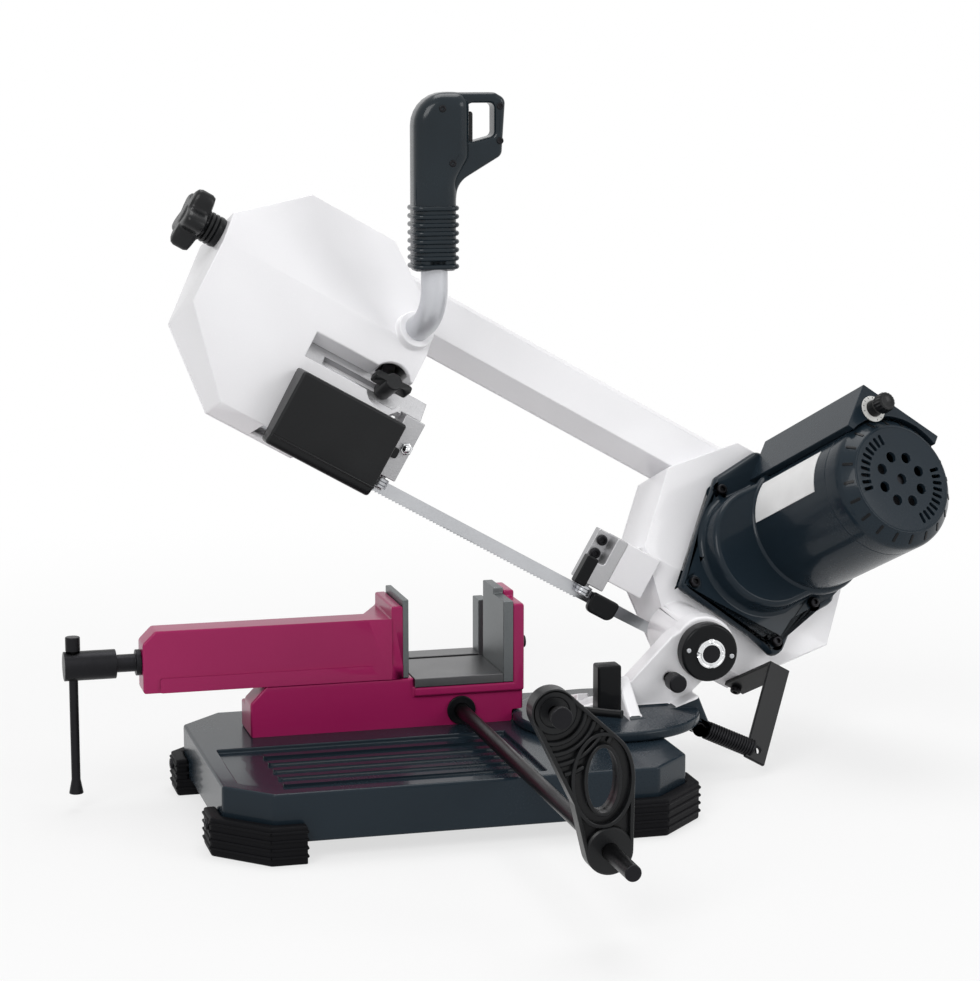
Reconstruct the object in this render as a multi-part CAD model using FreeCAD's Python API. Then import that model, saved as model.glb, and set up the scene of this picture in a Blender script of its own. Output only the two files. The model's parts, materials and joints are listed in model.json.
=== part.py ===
"""Portable band saw for metal: base with vise, swivelling arm, and a bow that swings on it.

Millimetres, +Z up. The origin is on the floor under the middle of the base. +X runs along the vise
screw towards the motor, and +Y runs to the back. The bow is drawn raised, as it rests on its spring.
"""
import FreeCAD, Part
import math
import os

Vec = FreeCAD.Vector
X_AXIS = Vec(1, 0, 0)
Y_AXIS = Vec(0, 1, 0)
Z_AXIS = Vec(0, 0, 1)

# General
overrun = 2.0
seat_gap = 0.3
running_gap = 0.05
slide_gap = 0.2

# Base casting and feet
base_length = 440.0
base_depth = 311.0
base_corner = 40.0
base_back_cut_x = 75.0
base_back_cut_y = 45.0
base_bottom_z = 17.0
base_top_z = 63.0
base_wall = 8.0
base_rim_width = 16.0
tray_depth = 4.0
tray_front_depth = 150.0
tray_rib_count = 5
tray_rib_width = 9.0
tray_rib_height = 2.5
foot_length = 92.0
foot_depth = 74.0
foot_lap = 12.0
foot_height = 36.0
foot_screw_r = 3.0
foot_screw_head_r = 5.5
foot_screw_head = 3.0
foot_screw_share = 0.66
bench_hole_r = 4.5
bench_hole_spacing_x = 300.0
bench_hole_spacing_y = 200.0
bench_boss_r = 12.0

# Saw blade, wheels and the plane they run in
blade_length = 1735.0
blade_width = 13.0
blade_thickness = 0.9
blade_y = 130.0
wheel_r = 107.5
wheel_rim = 12.0
wheel_width = 18.0
wheel_web = 8.0
wheel_hub_r = 24.0
wheel_hub_length = 30.0
wheel_hole_count = 6
wheel_hole_r = 15.0
wheel_tilt = 60.0
wheel_flange = 1.5
wheel_flange_width = 3.0
twist_steps = 8
twist_lead = 12.0

# Pivot of the bow
swivel_margin = 35.0
swivel_x = base_length / 2 - swivel_margin
pivot_reach = 103.0
pivot_x = swivel_x + pivot_reach
pivot_z = 127.0
bow_raise_angle = 29.6
blade_below_pivot = 11.0
drive_wheel_x = 45.0
axle_r = 12.0
axle_front_y = 8.0
axle_back_y = 92.0
pivot_disc_r = 29.0
pivot_disc_thickness = 18.0
pivot_ring_r = 14.0
pivot_ring_thickness = 6.0
pivot_bush_wall = 3.0

# Swivelling arm
swivel_y = 25.0
turntable_r = 92.0
turntable_thickness = 10.0
turntable_gap = 1.0
swivel_bolt_r = 10.0
swivel_bolt_head_r = 18.0
swivel_bolt_head = 8.0
arm_front_y = 29.0
arm_thickness = 24.0
arm_hub_r = 33.0
arm_foot_left_reach = 37.0
arm_foot_left_x = swivel_x - arm_foot_left_reach
arm_foot_right_reach = 77.0
arm_foot_right_x = swivel_x + arm_foot_right_reach
arm_waist_left_reach = 11.0
arm_waist_left_x = swivel_x + arm_waist_left_reach
arm_waist_left_z = 84.0
arm_waist_right_reach = 91.0
arm_waist_right_x = swivel_x + arm_waist_right_reach
arm_waist_right_z = 86.0
arm_rib_back_y = 92.0
arm_rib_thickness = 14.0
arm_rib_top_z = 106.0
arm_toe_share = 0.44
tail_reach = 94.0
tail_x = swivel_x + tail_reach
tail_z = 52.0
tail_r = 11.0
tail_hole_r = 6.0
lever_angle = 232.0
lever_post_r = 6.5
lever_post_height = 22.0
lever_arm_length = 46.0
lever_arm_r = 4.0
post_reach = 13.0
post_x = swivel_x - post_reach
post_y = 41.0
post_length = 24.0
post_depth = 20.0
post_top_z = 121.0
lock_pin_reach = 67.0
lock_pin_x = swivel_x + lock_pin_reach
lock_pin_z = 100.0
lock_pin_r = 5.0
lock_pin_knob_r = 9.0
lock_pin_knob_length = 18.0
lock_pin_travel = 10.0

# Vise
table_z = 112.0
vise_left_x = -165.0
vise_right_x = 106.0
vise_front_y = 46.0
vise_depth = 52.0
vise_rail_depth = 33.0
vise_shoulder_z = 90.0
vise_right_depth = 100.0
vise_bottom_wall = 6.0
vise_side_wall = 8.0
vise_scoop = 16.0
table_left_x = -4.0
table_front_y = 42.0
table_depth = 120.0
table_thickness = 9.0
blade_slot = 8.0
jaw_blade_gap = 18.0
jaw_face_x = 85.0
jaw_plate = 10.0
jaw_back_wall = 11.0
jaw_top_z = 190.0
jaw_step = 6.0
jaw_step_depth = 38.0
jaw_rear_top_z = 166.0
jaw_bolt_r = 4.0
jaw_bolt_head_r = 6.5
jaw_bolt_head = 6.0
jaw_bolt_length = 16.0
jaw_gap = 94.0
moving_jaw_depth = 75.0
moving_jaw_plate = 6.0
moving_jaw_top_z = 184.0
beam_left_x = -267.0
beam_front_y = 47.0
beam_depth = 31.0
beam_top_z = 172.0
beam_wall = 5.0
beam_flange_height = 14.0
beam_flange_lap = 2.0
beam_chamfer = 12.0
beam_end_wall = 16.0
gusset_length = 22.0
screw_r = 8.5
screw_z = 140.0
screw_thread_r = 7.5
screw_inner_x = -40.0
collar_r = 12.5
collar_length = 5.0
screw_head_r = 14.0
screw_head_left_x = -340.0
screw_head_right_x = -291.0
t_bar_x = -331.0
t_bar_r = 4.3
t_bar_bottom_z = 16.0
t_bar_knob_r = 7.0
t_bar_knob_length = 14.0
nut_length = 26.0
nut_x = -78.0
nut_depth = 18.0
nut_height = 42.0

# Length stop
rod_r = 7.0
rod_x = 43.0
rod_z = 77.5
rod_front_y = -500.0
rod_grip = 62.0
rod_bush_r = 11.0
rod_bush_lip = 3.2
stop_arm_y = -430.0
stop_arm_width = 18.0
stop_clamp_r = 20.0
stop_ring_x = 37.0
stop_ring_z = 137.0
stop_ring_half_x = 27.0
stop_ring_half_z = 40.0
stop_ring_hole_x = 13.0
stop_ring_hole_z = 27.0
stop_disc_x = -4.0
stop_disc_z = 196.0
stop_disc_r = 19.0
stop_screw_r = 4.0
stop_screw_length = 44.0
stop_screw_head_r = 9.0
stop_screw_head = 8.0
stop_travel = 12.0

# Bow casting, in the wheels' plane
casing_room = 8.5
casing_half = wheel_r + casing_room
casing_back = 20.0
casing_lower_front = 16.0
casing_ridge_w = 12.0
casing_ridge_front = 70.0
casing_top_front = 56.0
drive_front = 40.0
casing_wall = 5.0
wheel_room = 14.0
lower_shoulder_share = 0.45
beam_bevel = 10.0
blade_way_room = 10.0
beam_above = 2.0
beam_height = 56.0
beam_high_w = casing_half + beam_above
beam_low_w = beam_high_w - beam_height
beam_front = 22.0
pivot_boss_r = 30.0
pivot_boss_back_y = 119.0
pivot_boss_front_gap = 0.5
drive_casing_left = drive_wheel_x - casing_half
guide_pad_reach = 21.0
guide_pad_lap = 19.0
guide_pad_left = drive_casing_left - guide_pad_reach
guide_pad_right = drive_casing_left + guide_pad_lap
guide_pad_front = 16.0
guide_pad_back = 16.0
guide_pad_low = 12.0
guide_pad_high = 56.0
cover_thickness = 2.0
cover_screw_r = 2.0
cover_screw_head_r = 4.0
cover_screw_head = 2.5
cover_screw_length = 10.0
cover_boss_r = 5.0

# Idle wheel carriage and tension screw
carriage_length = 70.0
carriage_low_w = -12.0
carriage_high_w = 44.0
carriage_thickness = 14.0
carriage_front = 36.0
idle_axle_r = 9.0
tension_w = 32.0
tension_travel = 3.0
tension_screw_r = 6.0
tension_boss_r = 15.0
tension_hub_r = 16.0
tension_hub_length = 20.0
tension_lobe_count = 5
tension_lobe_r = 11.0
tension_lobe_ring_r = 17.0
tension_lobe_length = 22.0

# Drive
drive_shaft_r = 10.0
gear_module = 1.5
drive_gear_teeth = 68
pinion_teeth = 12
gear_width = 14.0
gear_addendum_share = 0.75
gear_dedendum_share = 1.2
gear_tip_share = 0.11
gear_root_share = 0.3
motor_angle = 48.0
control_lean_angle = -5.5
gear_case_wall = 5.0
gear_case_depth = 38.0
gear_case_wheel_r = 64.0
gear_flange_thickness = 14.0
gear_flange_shares = [(-0.601, -0.653), (-0.567, 0.515), (-0.258, 0.962), (0.429, 0.962), (0.859, 0.515),
                      (0.893, -0.052), (0.567, -0.447), (0.532, -0.756), (0.447, -0.833), (0.172, -0.74)]
gear_screw_shares = [(-0.498, 0.395), (-0.498, -0.567), (0.429, -0.704), (0.687, -0.172)]
gear_screw_r = 3.0
gear_screw_head_r = 5.5
gear_screw_head = 5.0
motor_r = 68.0
motor_length = 128.0
motor_wall = 4.0
motor_cap_length = 36.0
motor_cap_face_r = 53.0
rotor_r = 34.0
rotor_length = 84.0
rotor_shaft_r = 6.0
fan_r = 46.0
fan_thickness = 8.0
vent_count = 12
vent_r = 5.0
vent_ring_r = 30.0
vent_inner_count = 6
vent_inner_ring_r = 15.0
cap_slot_count = 20
cap_slot_width = 3.0
cap_slot_length = 9.0
control_length = 180.0
control_side_proud = 4.0
control_top_proud = 6.0
control_low_share = 0.32
control_right_share = 0.37
control_room_share = 0.4
control_wall = 3.0
dial_margin = 19.0
dial_r = 11.0
dial_height = 14.0
dial_plate_r = 13.5
dial_plate_thickness = 1.2
dial_shaft_r = 3.0

# Blade guides
left_guide_reach = 17.365
right_guide_reach = 37.0
guide_travel = 60.0
guide_bar_lift = 63.5
guide_bar_height = 24.0
guide_bar_low_w = guide_bar_lift - wheel_r
guide_bar_high_w = guide_bar_low_w + guide_bar_height
guide_bar_back = 24.0
guide_bar_front = 34.0
guide_bar_inset = 7.365
guide_plate_half = 11.0
guide_plate_top = 64.0
guide_head_depth = 34.0
guide_head_height = 20.0
roller_r = 8.0
roller_width = 10.0
roller_pin_r = 3.0
roller_gap = 0.3
guide_screw_r = 3.0
guide_screw_head_r = 5.5
guide_screw_head = 5.0
wing_inset = 20.635
wing_hub_r = 9.0
wing_hub_length = 30.0
wing_length = 40.0
wing_thickness = 7.0
wing_height = 15.0
wing_screw_r = 4.0
guard_inset = 4.365
guard_reach = 4.365
guard_front_y = 82.0
guard_top_z = 55.0
guard_bottom_z = -24.0
guard_wall = 3.5
guard_chamfer = 10.0
small_guard_half = 14.0

# Handle, drawn where it stands with the bow raised
handle_reach = 94.553
handle_w = 24.663
handle_n = 115.997
tube_r = 13.0
tube_wall = 2.5
tube_bend_r = 42.0
tube_foot_length = 30.0
handle_boss_top = 78.0
tube_rise = 181.0
tube_foot_r = 19.0
grip_bottom_rise = 43.0
grip_top_rise = 215.0
grip_left_reach = 22.0
grip_right_reach = 20.0
grip_loop_reach = 69.0
grip_depth = 38.0
loop_left_reach = 32.0
loop_right_reach = 58.0
loop_bottom_rise = 159.0
loop_top_rise = 202.0
grip_rib_count = 8
grip_rib_pitch = 8.0
grip_rib_height = 2.5
grip_rib_width = 4.0
trigger_depth = 13.0
trigger_width = 16.0
grip_rim = 12.0
grip_chin = 26.0
grip_crown = 18.0
trigger_travel = 5.0
handle_screw_r = 2.2
handle_screw_head_r = 4.2

# Return spring
spring_y = 13.0
spring_wire_r = 1.4
spring_coil_r = 8.0
spring_turns = 10
spring_end_reach = 154.0
spring_end_x = swivel_x + spring_end_reach
spring_end_z = 24.0
spring_pitch = 3.5
spring_samples = 24
bracket_thickness = 4.0
bracket_width = 24.0
bracket_hole_r = 3.2


def box(x0, x1, y0, y1, z0, z1):
    return Part.makeBox(x1 - x0, y1 - y0, z1 - z0, Vec(x0, y0, z0))


def rod(radius, start, direction, length):
    return Part.makeCylinder(radius, length, start, direction)


def ring(outer, inner, start, direction, length):
    return rod(outer, start, direction, length).cut(rod(inner, start, direction, length))


def prism(points, along):
    """A closed outline of 3-D points pushed along a vector."""
    outline = Part.makePolygon(points + [points[0]])
    return Part.Face(outline).extrude(along)


def fuse(shapes):
    result = shapes[0].multiFuse(shapes[1:]) if len(shapes) > 1 else shapes[0]
    return result.removeSplitter()


def group(shapes):
    return Part.makeCompound(shapes)


pivot = Vec(pivot_x, 0, pivot_z)
bow_place = FreeCAD.Placement(pivot, FreeCAD.Rotation(Y_AXIS, bow_raise_angle))
tilt = math.radians(wheel_tilt)
blade_run_r = wheel_r + seat_gap + blade_thickness / 2
wheel_y = blade_y + blade_run_r * math.cos(tilt)
wheel_z = -blade_below_pivot + blade_run_r * math.sin(tilt)
wheel_place = FreeCAD.Placement(Vec(0, wheel_y, wheel_z), FreeCAD.Rotation(X_AXIS, wheel_tilt))
wheel_span = (blade_length - 2 * math.pi * (wheel_r + blade_thickness / 2)) / 2
idle_x = drive_wheel_x - wheel_span
idle_casing_right = idle_x + casing_half
left_guide_x = idle_casing_right + left_guide_reach
right_guide_x = drive_casing_left - right_guide_reach
small_guard_left = right_guide_x - small_guard_half
small_guard_right = right_guide_x + small_guard_half
guide_bar_left = idle_x + guide_bar_inset
wing_x = idle_casing_right - wing_inset
guard_left = idle_x + guard_inset
guard_right = idle_casing_right + guard_reach
wheels_to_room = bow_place.multiply(wheel_place)
handle_corner = Vec(idle_x + handle_reach, handle_w, handle_n)
handle_place = wheels_to_room.multVec(handle_corner)
handle_x = handle_place.x
handle_y = handle_place.y
tube_top_z = handle_place.z + tube_rise
grip_bottom_z = handle_place.z + grip_bottom_rise
grip_top_z = handle_place.z + grip_top_rise
grip_left_x = handle_x - grip_left_reach
grip_right_x = handle_x + grip_right_reach
grip_loop_right_x = handle_x + grip_loop_reach
loop_left_x = handle_x + loop_left_reach
loop_right_x = handle_x + loop_right_reach
loop_bottom_z = handle_place.z + loop_bottom_rise
loop_top_z = handle_place.z + loop_top_rise


def in_bow(shape):
    """From the bow's own frame, blade level and pivot at zero, to the raised bow."""
    moved = shape.copy()
    moved.Placement = bow_place.multiply(moved.Placement)
    return moved


def in_wheels(shape):
    """From the wheels' plane (along the bow, across the wheel, along the shaft) to the raised bow."""
    moved = shape.copy()
    moved.Placement = wheels_to_room.multiply(moved.Placement)
    return moved


def in_row(shape):
    """From the row of drive wheel and motor, both on its x axis, to the raised bow."""
    moved = shape.copy()
    moved.Placement = row_place.multiply(moved.Placement)
    return in_wheels(moved)


def wheels_to_bow(shape):
    moved = shape.copy()
    moved.Placement = wheel_place.multiply(moved.Placement)
    return moved


nodes = {}


def keep(name, shape):
    nodes[name] = shape


def base_outline(offset, height):
    """The base seen from above: chamfered corners, with a longer cut at the back right."""
    left = -base_length / 2 - offset
    right = base_length / 2 + offset
    front = -base_depth / 2 - offset
    back = base_depth / 2 + offset
    corner = base_corner + offset * (2 - math.sqrt(2))
    return [Vec(left + corner, front, height), Vec(right - corner, front, height),
            Vec(right, front + corner, height), Vec(right, back - base_back_cut_y, height),
            Vec(right - base_back_cut_x, back, height), Vec(left + corner, back, height),
            Vec(left, back - corner, height), Vec(left, front + corner, height)]


def bench_places():
    return [Vec(sx * bench_hole_spacing_x / 2, sy * bench_hole_spacing_y / 2, base_bottom_z)
            for sx in (-1, 1) for sy in (-1, 1)]


swivel_centre = Vec(swivel_x, swivel_y, base_top_z)
base_height = base_top_z - base_bottom_z
tray_left = -base_length / 2 + base_rim_width
tray_right = swivel_x - turntable_r - base_rim_width
tray_front = -base_depth / 2 + base_rim_width


def make_base():
    body = prism(base_outline(0, base_bottom_z), Z_AXIS * base_height)
    inside = prism(base_outline(-base_wall, base_bottom_z - overrun),
                   Z_AXIS * (base_height - base_wall + overrun))
    body = body.cut(inside)
    tray = box(tray_left, tray_right, tray_front, tray_front + tray_front_depth,
               base_top_z - tray_depth, base_top_z + overrun)
    rim = prism(base_outline(-base_rim_width, base_top_z - tray_depth), Z_AXIS * (tray_depth + overrun))
    body = body.cut(tray.common(rim))
    rib_step = tray_front_depth / (tray_rib_count + 1)
    ribs = []
    for i in range(tray_rib_count):
        y = tray_front + rib_step * (i + 1)
        ribs.append(box(tray_left + base_corner, tray_right - base_rim_width, y - tray_rib_width / 2,
                        y + tray_rib_width / 2, base_top_z - tray_depth,
                        base_top_z - tray_depth + tray_rib_height))
    bosses = [rod(bench_boss_r, place, Z_AXIS, base_height - base_wall / 2) for place in bench_places()]
    hub = rod(swivel_bolt_head_r, Vec(swivel_x, swivel_y, base_bottom_z + swivel_bolt_head + overrun),
              Z_AXIS,
              base_height - swivel_bolt_head - overrun)
    body = fuse([body] + ribs + bosses + [hub])
    for place in bench_places():
        body = body.cut(rod(bench_hole_r, place - Z_AXIS * overrun, Z_AXIS,
                            base_height - base_wall + overrun))
    bore = rod(swivel_bolt_r + running_gap, Vec(swivel_x, swivel_y, 0), Z_AXIS, base_top_z + overrun)
    keep("base_casting", body.cut(bore))


def foot_corners():
    """Middle of each foot and the way it faces out of the base."""
    half_x = base_length / 2
    half_y = base_depth / 2
    return [(-half_x, -half_y, 1, 1), (half_x, -half_y, -1, 1),
            (-half_x, half_y, 1, -1), (half_x, half_y - base_back_cut_y, -1, -1)]


def make_feet():
    pad = prism(base_outline(foot_lap, 0), Z_AXIS * foot_height)
    hollow = prism(base_outline(0, base_bottom_z), Z_AXIS * foot_height)
    feet = []
    screws = []
    for x, y, sx, sy in foot_corners():
        x0, x1 = sorted((x - sx * foot_lap, x + sx * foot_length))
        y0, y1 = sorted((y - sy * foot_lap, y + sy * foot_depth))
        foot = pad.common(box(x0, x1, y0, y1, 0, foot_height)).cut(hollow)
        outer = Vec(x - sx * foot_lap, y + sy * foot_depth * foot_screw_share,
                    (base_bottom_z + foot_height) / 2)
        outward = X_AXIS * sx
        head = rod(foot_screw_head_r, outer - outward * foot_screw_head, outward, foot_screw_head)
        shank = rod(foot_screw_r, outer, outward, foot_lap)
        feet.append(foot.cut(rod(foot_screw_r, outer - outward * overrun, outward, foot_lap + overrun)))
        screws.append(fuse([head, shank]))
    keep("corner_feet", group(feet))
    keep("foot_screws", group(screws))


def jaw_slot(x0, x1, z0, z1, width=blade_slot):
    """The gap that lets the blade through, on its own plane."""
    return box(x0, x1, blade_y - width / 2, blade_y + width / 2, z0, z1)


table_back_y = table_front_y + table_depth
flange_z = table_z - table_thickness
jaw_back_x = jaw_face_x + jaw_plate
step_y = table_front_y + jaw_step_depth
beam_y = beam_front_y + beam_depth / 2


def stepped_jaw(x0, x1, z0, drop):
    """Fixed jaw seen along the screw: low front step, high middle, lower behind the blade."""
    front = box(x0, x1, table_front_y, step_y, z0, jaw_top_z - jaw_step - drop)
    middle = box(x0, x1, step_y, blade_y, z0, jaw_top_z - drop)
    rear = box(x0, x1, blade_y, table_back_y, z0, jaw_rear_top_z - drop)
    return fuse([front, middle, rear])


def jaw_bolt_places():
    z = (table_z + jaw_rear_top_z) / 2
    return [Vec(jaw_back_x, y, z) for y in (table_front_y + jaw_step_depth / 2, (step_y + blade_y) / 2)]


def make_vise_bed():
    back_left = vise_front_y + vise_depth
    low = box(vise_left_x, table_left_x, vise_front_y, back_left, base_top_z, vise_shoulder_z)
    rail = box(vise_left_x, table_left_x, vise_front_y, vise_front_y + vise_rail_depth, vise_shoulder_z,
               table_z)
    right = box(table_left_x, vise_right_x, vise_front_y, vise_front_y + vise_right_depth, base_top_z,
                flange_z)
    flange = box(table_left_x, vise_right_x, table_front_y, table_back_y, flange_z - table_thickness,
                 flange_z)
    backing = stepped_jaw(jaw_back_x, vise_right_x, flange_z, jaw_step / 2)
    bed = fuse([low, rail, right, flange, backing])
    wall = vise_side_wall
    room_left = box(vise_left_x + wall, table_left_x - wall, vise_front_y + wall, back_left - wall,
                    base_top_z - overrun, vise_shoulder_z - vise_bottom_wall)
    room_right = box(rod_x + rod_bush_r + wall, vise_right_x - wall, vise_front_y + wall,
                     vise_front_y + vise_right_depth - wall, base_top_z - overrun,
                     flange_z - 2 * table_thickness)
    scoop = prism([Vec(vise_left_x, vise_front_y - overrun, table_z),
                   Vec(vise_left_x, vise_front_y - overrun, table_z - vise_scoop),
                   Vec(vise_left_x + vise_scoop, vise_front_y - overrun, table_z)],
                   Y_AXIS * (vise_rail_depth + 2 * overrun))
    bore = rod(rod_bush_r, Vec(rod_x, vise_front_y - overrun, rod_z), Y_AXIS, rod_grip + overrun)
    bed = bed.cut(room_left).cut(room_right).cut(scoop).cut(bore)
    bed = bed.cut(jaw_slot(jaw_back_x - overrun, vise_right_x + overrun, flange_z, jaw_top_z + overrun,
                           jaw_blade_gap))
    for place in jaw_bolt_places():
        bed = bed.cut(rod(jaw_bolt_r, place - X_AXIS * jaw_bolt_length, X_AXIS, 2 * jaw_bolt_length))
    relief = rod(turntable_r + turntable_gap, swivel_centre, Z_AXIS, turntable_thickness + overrun)
    keep("vise_bed", bed.cut(relief))


def make_table():
    plate = box(table_left_x, jaw_face_x, table_front_y, table_back_y, flange_z, table_z)
    slot_left = table_left_x + table_thickness
    plate = plate.cut(jaw_slot(slot_left, jaw_face_x + overrun, flange_z - overrun, table_z + overrun))
    groove = jaw_slot(table_left_x - overrun, jaw_face_x, table_z - table_thickness / 2,
                      table_z + overrun)
    keep("table_plate", plate.cut(groove))
    bridge = table_thickness / 3
    jaw = stepped_jaw(jaw_face_x, jaw_back_x, flange_z, 0)
    jaw = jaw.cut(jaw_slot(jaw_face_x - overrun, jaw_back_x + overrun, flange_z + bridge,
                           jaw_top_z + overrun, jaw_blade_gap))
    bolts = []
    for place in jaw_bolt_places():
        jaw = jaw.cut(rod(jaw_bolt_r, place - X_AXIS * jaw_plate / 2, X_AXIS, jaw_plate))
        shank = rod(jaw_bolt_r, place - X_AXIS * jaw_plate / 2, X_AXIS, jaw_plate / 2 + jaw_back_wall)
        head = rod(jaw_bolt_head_r, Vec(vise_right_x, place.y, place.z), X_AXIS, jaw_bolt_head)
        bolts.append(fuse([shank, head]))
    keep("fixed_jaw_plate", jaw)
    keep("fixed_jaw_bolts", group(bolts))


moving_jaw_x = jaw_face_x - jaw_gap
jaw_wall_right_x = moving_jaw_x - moving_jaw_plate
jaw_wall_left_x = jaw_wall_right_x - jaw_back_wall
beam_bottom_z = table_z + seat_gap
moving_jaw_back_y = vise_front_y + moving_jaw_depth


def make_moving_jaw():
    beam_back_y = beam_front_y + beam_depth
    beam = box(beam_left_x, jaw_wall_right_x, beam_front_y, beam_back_y, beam_bottom_z, beam_top_z)
    flange = box(beam_left_x + beam_end_wall, jaw_wall_right_x, beam_front_y - beam_flange_lap,
                 beam_back_y + beam_flange_lap, beam_bottom_z, beam_bottom_z + beam_flange_height)
    wall = box(jaw_wall_left_x, jaw_wall_right_x, vise_front_y, moving_jaw_back_y, beam_bottom_z,
               moving_jaw_top_z)
    gusset = prism([Vec(jaw_wall_left_x - gusset_length, beam_front_y, beam_bottom_z),
                    Vec(jaw_wall_left_x, vise_front_y - beam_flange_lap, beam_bottom_z),
                    Vec(jaw_wall_left_x, moving_jaw_back_y, beam_bottom_z),
                    Vec(jaw_wall_left_x - gusset_length, beam_back_y, beam_bottom_z)],
                   Z_AXIS * (beam_top_z - beam_bottom_z))
    body = fuse([beam, flange, wall, gusset])
    room = box(beam_left_x + beam_end_wall, jaw_wall_left_x, beam_front_y + beam_wall,
               beam_back_y - beam_wall,
               beam_bottom_z - overrun, beam_top_z - beam_wall)
    corner = prism([Vec(beam_left_x, beam_front_y - overrun, beam_top_z),
                    Vec(beam_left_x, beam_front_y - overrun, beam_top_z - beam_chamfer),
                    Vec(beam_left_x + beam_chamfer, beam_front_y - overrun, beam_top_z)],
                   Y_AXIS * (beam_depth + 2 * overrun))
    hole = rod(screw_r + running_gap, Vec(beam_left_x - overrun, beam_y, screw_z), X_AXIS,
               beam_end_wall + 2 * overrun)
    keep("moving_jaw", body.cut(room).cut(corner).cut(hole))
    keep("moving_jaw_plate", box(jaw_wall_right_x, moving_jaw_x, vise_front_y, moving_jaw_back_y,
                                 beam_bottom_z, moving_jaw_top_z + jaw_step))


def make_vise_screw():
    inner_x = beam_left_x + beam_end_wall
    thread = rod(screw_thread_r, Vec(inner_x, beam_y, screw_z), X_AXIS, screw_inner_x - inner_x)
    shaft = rod(screw_r, Vec(screw_head_right_x, beam_y, screw_z), X_AXIS, inner_x - screw_head_right_x)
    clip = rod(screw_r + overrun, Vec(inner_x + seat_gap, beam_y, screw_z), X_AXIS, collar_length)
    collar = rod(collar_r, Vec(beam_left_x - seat_gap - collar_length, beam_y, screw_z), X_AXIS,
                 collar_length)
    head = rod(screw_head_r, Vec(screw_head_left_x, beam_y, screw_z), X_AXIS,
               screw_head_right_x - screw_head_left_x)
    hole = rod(t_bar_r + slide_gap, Vec(t_bar_x, beam_y, screw_z - screw_head_r - overrun), Z_AXIS,
               2 * screw_head_r + 2 * overrun)
    keep("vise_screw", fuse([thread, shaft, clip, collar, head]).cut(hole))
    knob_bottom = screw_z + screw_head_r + seat_gap
    stem = rod(t_bar_r, Vec(t_bar_x, beam_y, t_bar_bottom_z), Z_AXIS,
               knob_bottom + t_bar_knob_length - t_bar_bottom_z)
    top = rod(t_bar_knob_r, Vec(t_bar_x, beam_y, knob_bottom), Z_AXIS, t_bar_knob_length)
    flare = Part.makeCone(t_bar_knob_r, t_bar_r, t_bar_knob_length,
                          Vec(t_bar_x, beam_y, t_bar_bottom_z), Z_AXIS)
    keep("t_bar", fuse([stem, top, flare]))
    nut_back = beam_y + nut_depth / 2
    nut = box(nut_x, nut_x + nut_length, beam_y - nut_depth / 2, nut_back, table_z,
              table_z + nut_height)
    thread_hole = rod(screw_thread_r + running_gap, Vec(nut_x - overrun, beam_y, screw_z), X_AXIS,
                      nut_length + 2 * overrun)
    keep("vise_nut", nut.cut(thread_hole))


def make_length_stop():
    lip = ring(rod_bush_r + rod_bush_lip, rod_r, Vec(rod_x, vise_front_y - rod_bush_lip, rod_z), Y_AXIS,
               rod_bush_lip)
    sleeve = ring(rod_bush_r, rod_r, Vec(rod_x, vise_front_y, rod_z), Y_AXIS, rod_grip)
    bush = fuse([lip, sleeve]).cut(rod(rod_r + running_gap,
                                       Vec(rod_x, vise_front_y - rod_bush_lip - overrun, rod_z),
                                       Y_AXIS, rod_grip + rod_bush_lip + 2 * overrun))
    keep("rod_bush", bush)
    keep("stop_rod", rod(rod_r, Vec(rod_x, rod_front_y, rod_z), Y_AXIS,
                         vise_front_y + rod_grip - rod_front_y))
    y0 = stop_arm_y - stop_arm_width / 2
    clamp = rod(stop_clamp_r, Vec(rod_x, y0, rod_z), Y_AXIS, stop_arm_width)
    oval = Part.makeCylinder(stop_ring_half_x, stop_arm_width, Vec(0, 0, 0), Y_AXIS)
    stretch = FreeCAD.Matrix()
    stretch.scale(1, 1, stop_ring_half_z / stop_ring_half_x)
    oval = oval.transformGeometry(stretch)
    oval.translate(Vec(stop_ring_x, y0, stop_ring_z))
    window = Part.makeCylinder(stop_ring_hole_x, stop_arm_width + 2 * overrun, Vec(0, -overrun, 0),
                               Y_AXIS)
    narrow = FreeCAD.Matrix()
    narrow.scale(1, 1, stop_ring_hole_z / stop_ring_hole_x)
    window = window.transformGeometry(narrow)
    window.translate(Vec(stop_ring_x, y0, stop_ring_z))
    pad = rod(stop_disc_r, Vec(stop_disc_x, y0, stop_disc_z), Y_AXIS, stop_arm_width)
    neck = prism([Vec(stop_disc_x - stop_disc_r / 2, y0, stop_disc_z - stop_disc_r),
                  Vec(stop_ring_x - stop_ring_half_x / 2, y0, stop_ring_z + stop_ring_half_z / 3),
                  Vec(stop_ring_x + stop_ring_half_x / 2, y0, stop_ring_z + stop_ring_half_z / 2),
                  Vec(stop_disc_x + stop_disc_r, y0, stop_disc_z + stop_disc_r / 2)],
                  Y_AXIS * stop_arm_width)
    arm = fuse([clamp, oval, pad, neck]).cut(window)
    arm = arm.cut(rod(rod_r + running_gap, Vec(rod_x, y0 - overrun, rod_z), Y_AXIS,
                      stop_arm_width + 2 * overrun))
    screw_start = Vec(stop_disc_x, y0 - stop_travel - seat_gap, stop_disc_z)
    arm = arm.cut(rod(stop_screw_r + running_gap, screw_start, Y_AXIS, stop_screw_length))
    keep("stop_arm", arm)
    head = rod(stop_screw_head_r, screw_start - Y_AXIS * stop_screw_head, Y_AXIS, stop_screw_head)
    keep("stop_screw", fuse([head, rod(stop_screw_r, screw_start, Y_AXIS, stop_screw_length)]))


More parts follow.
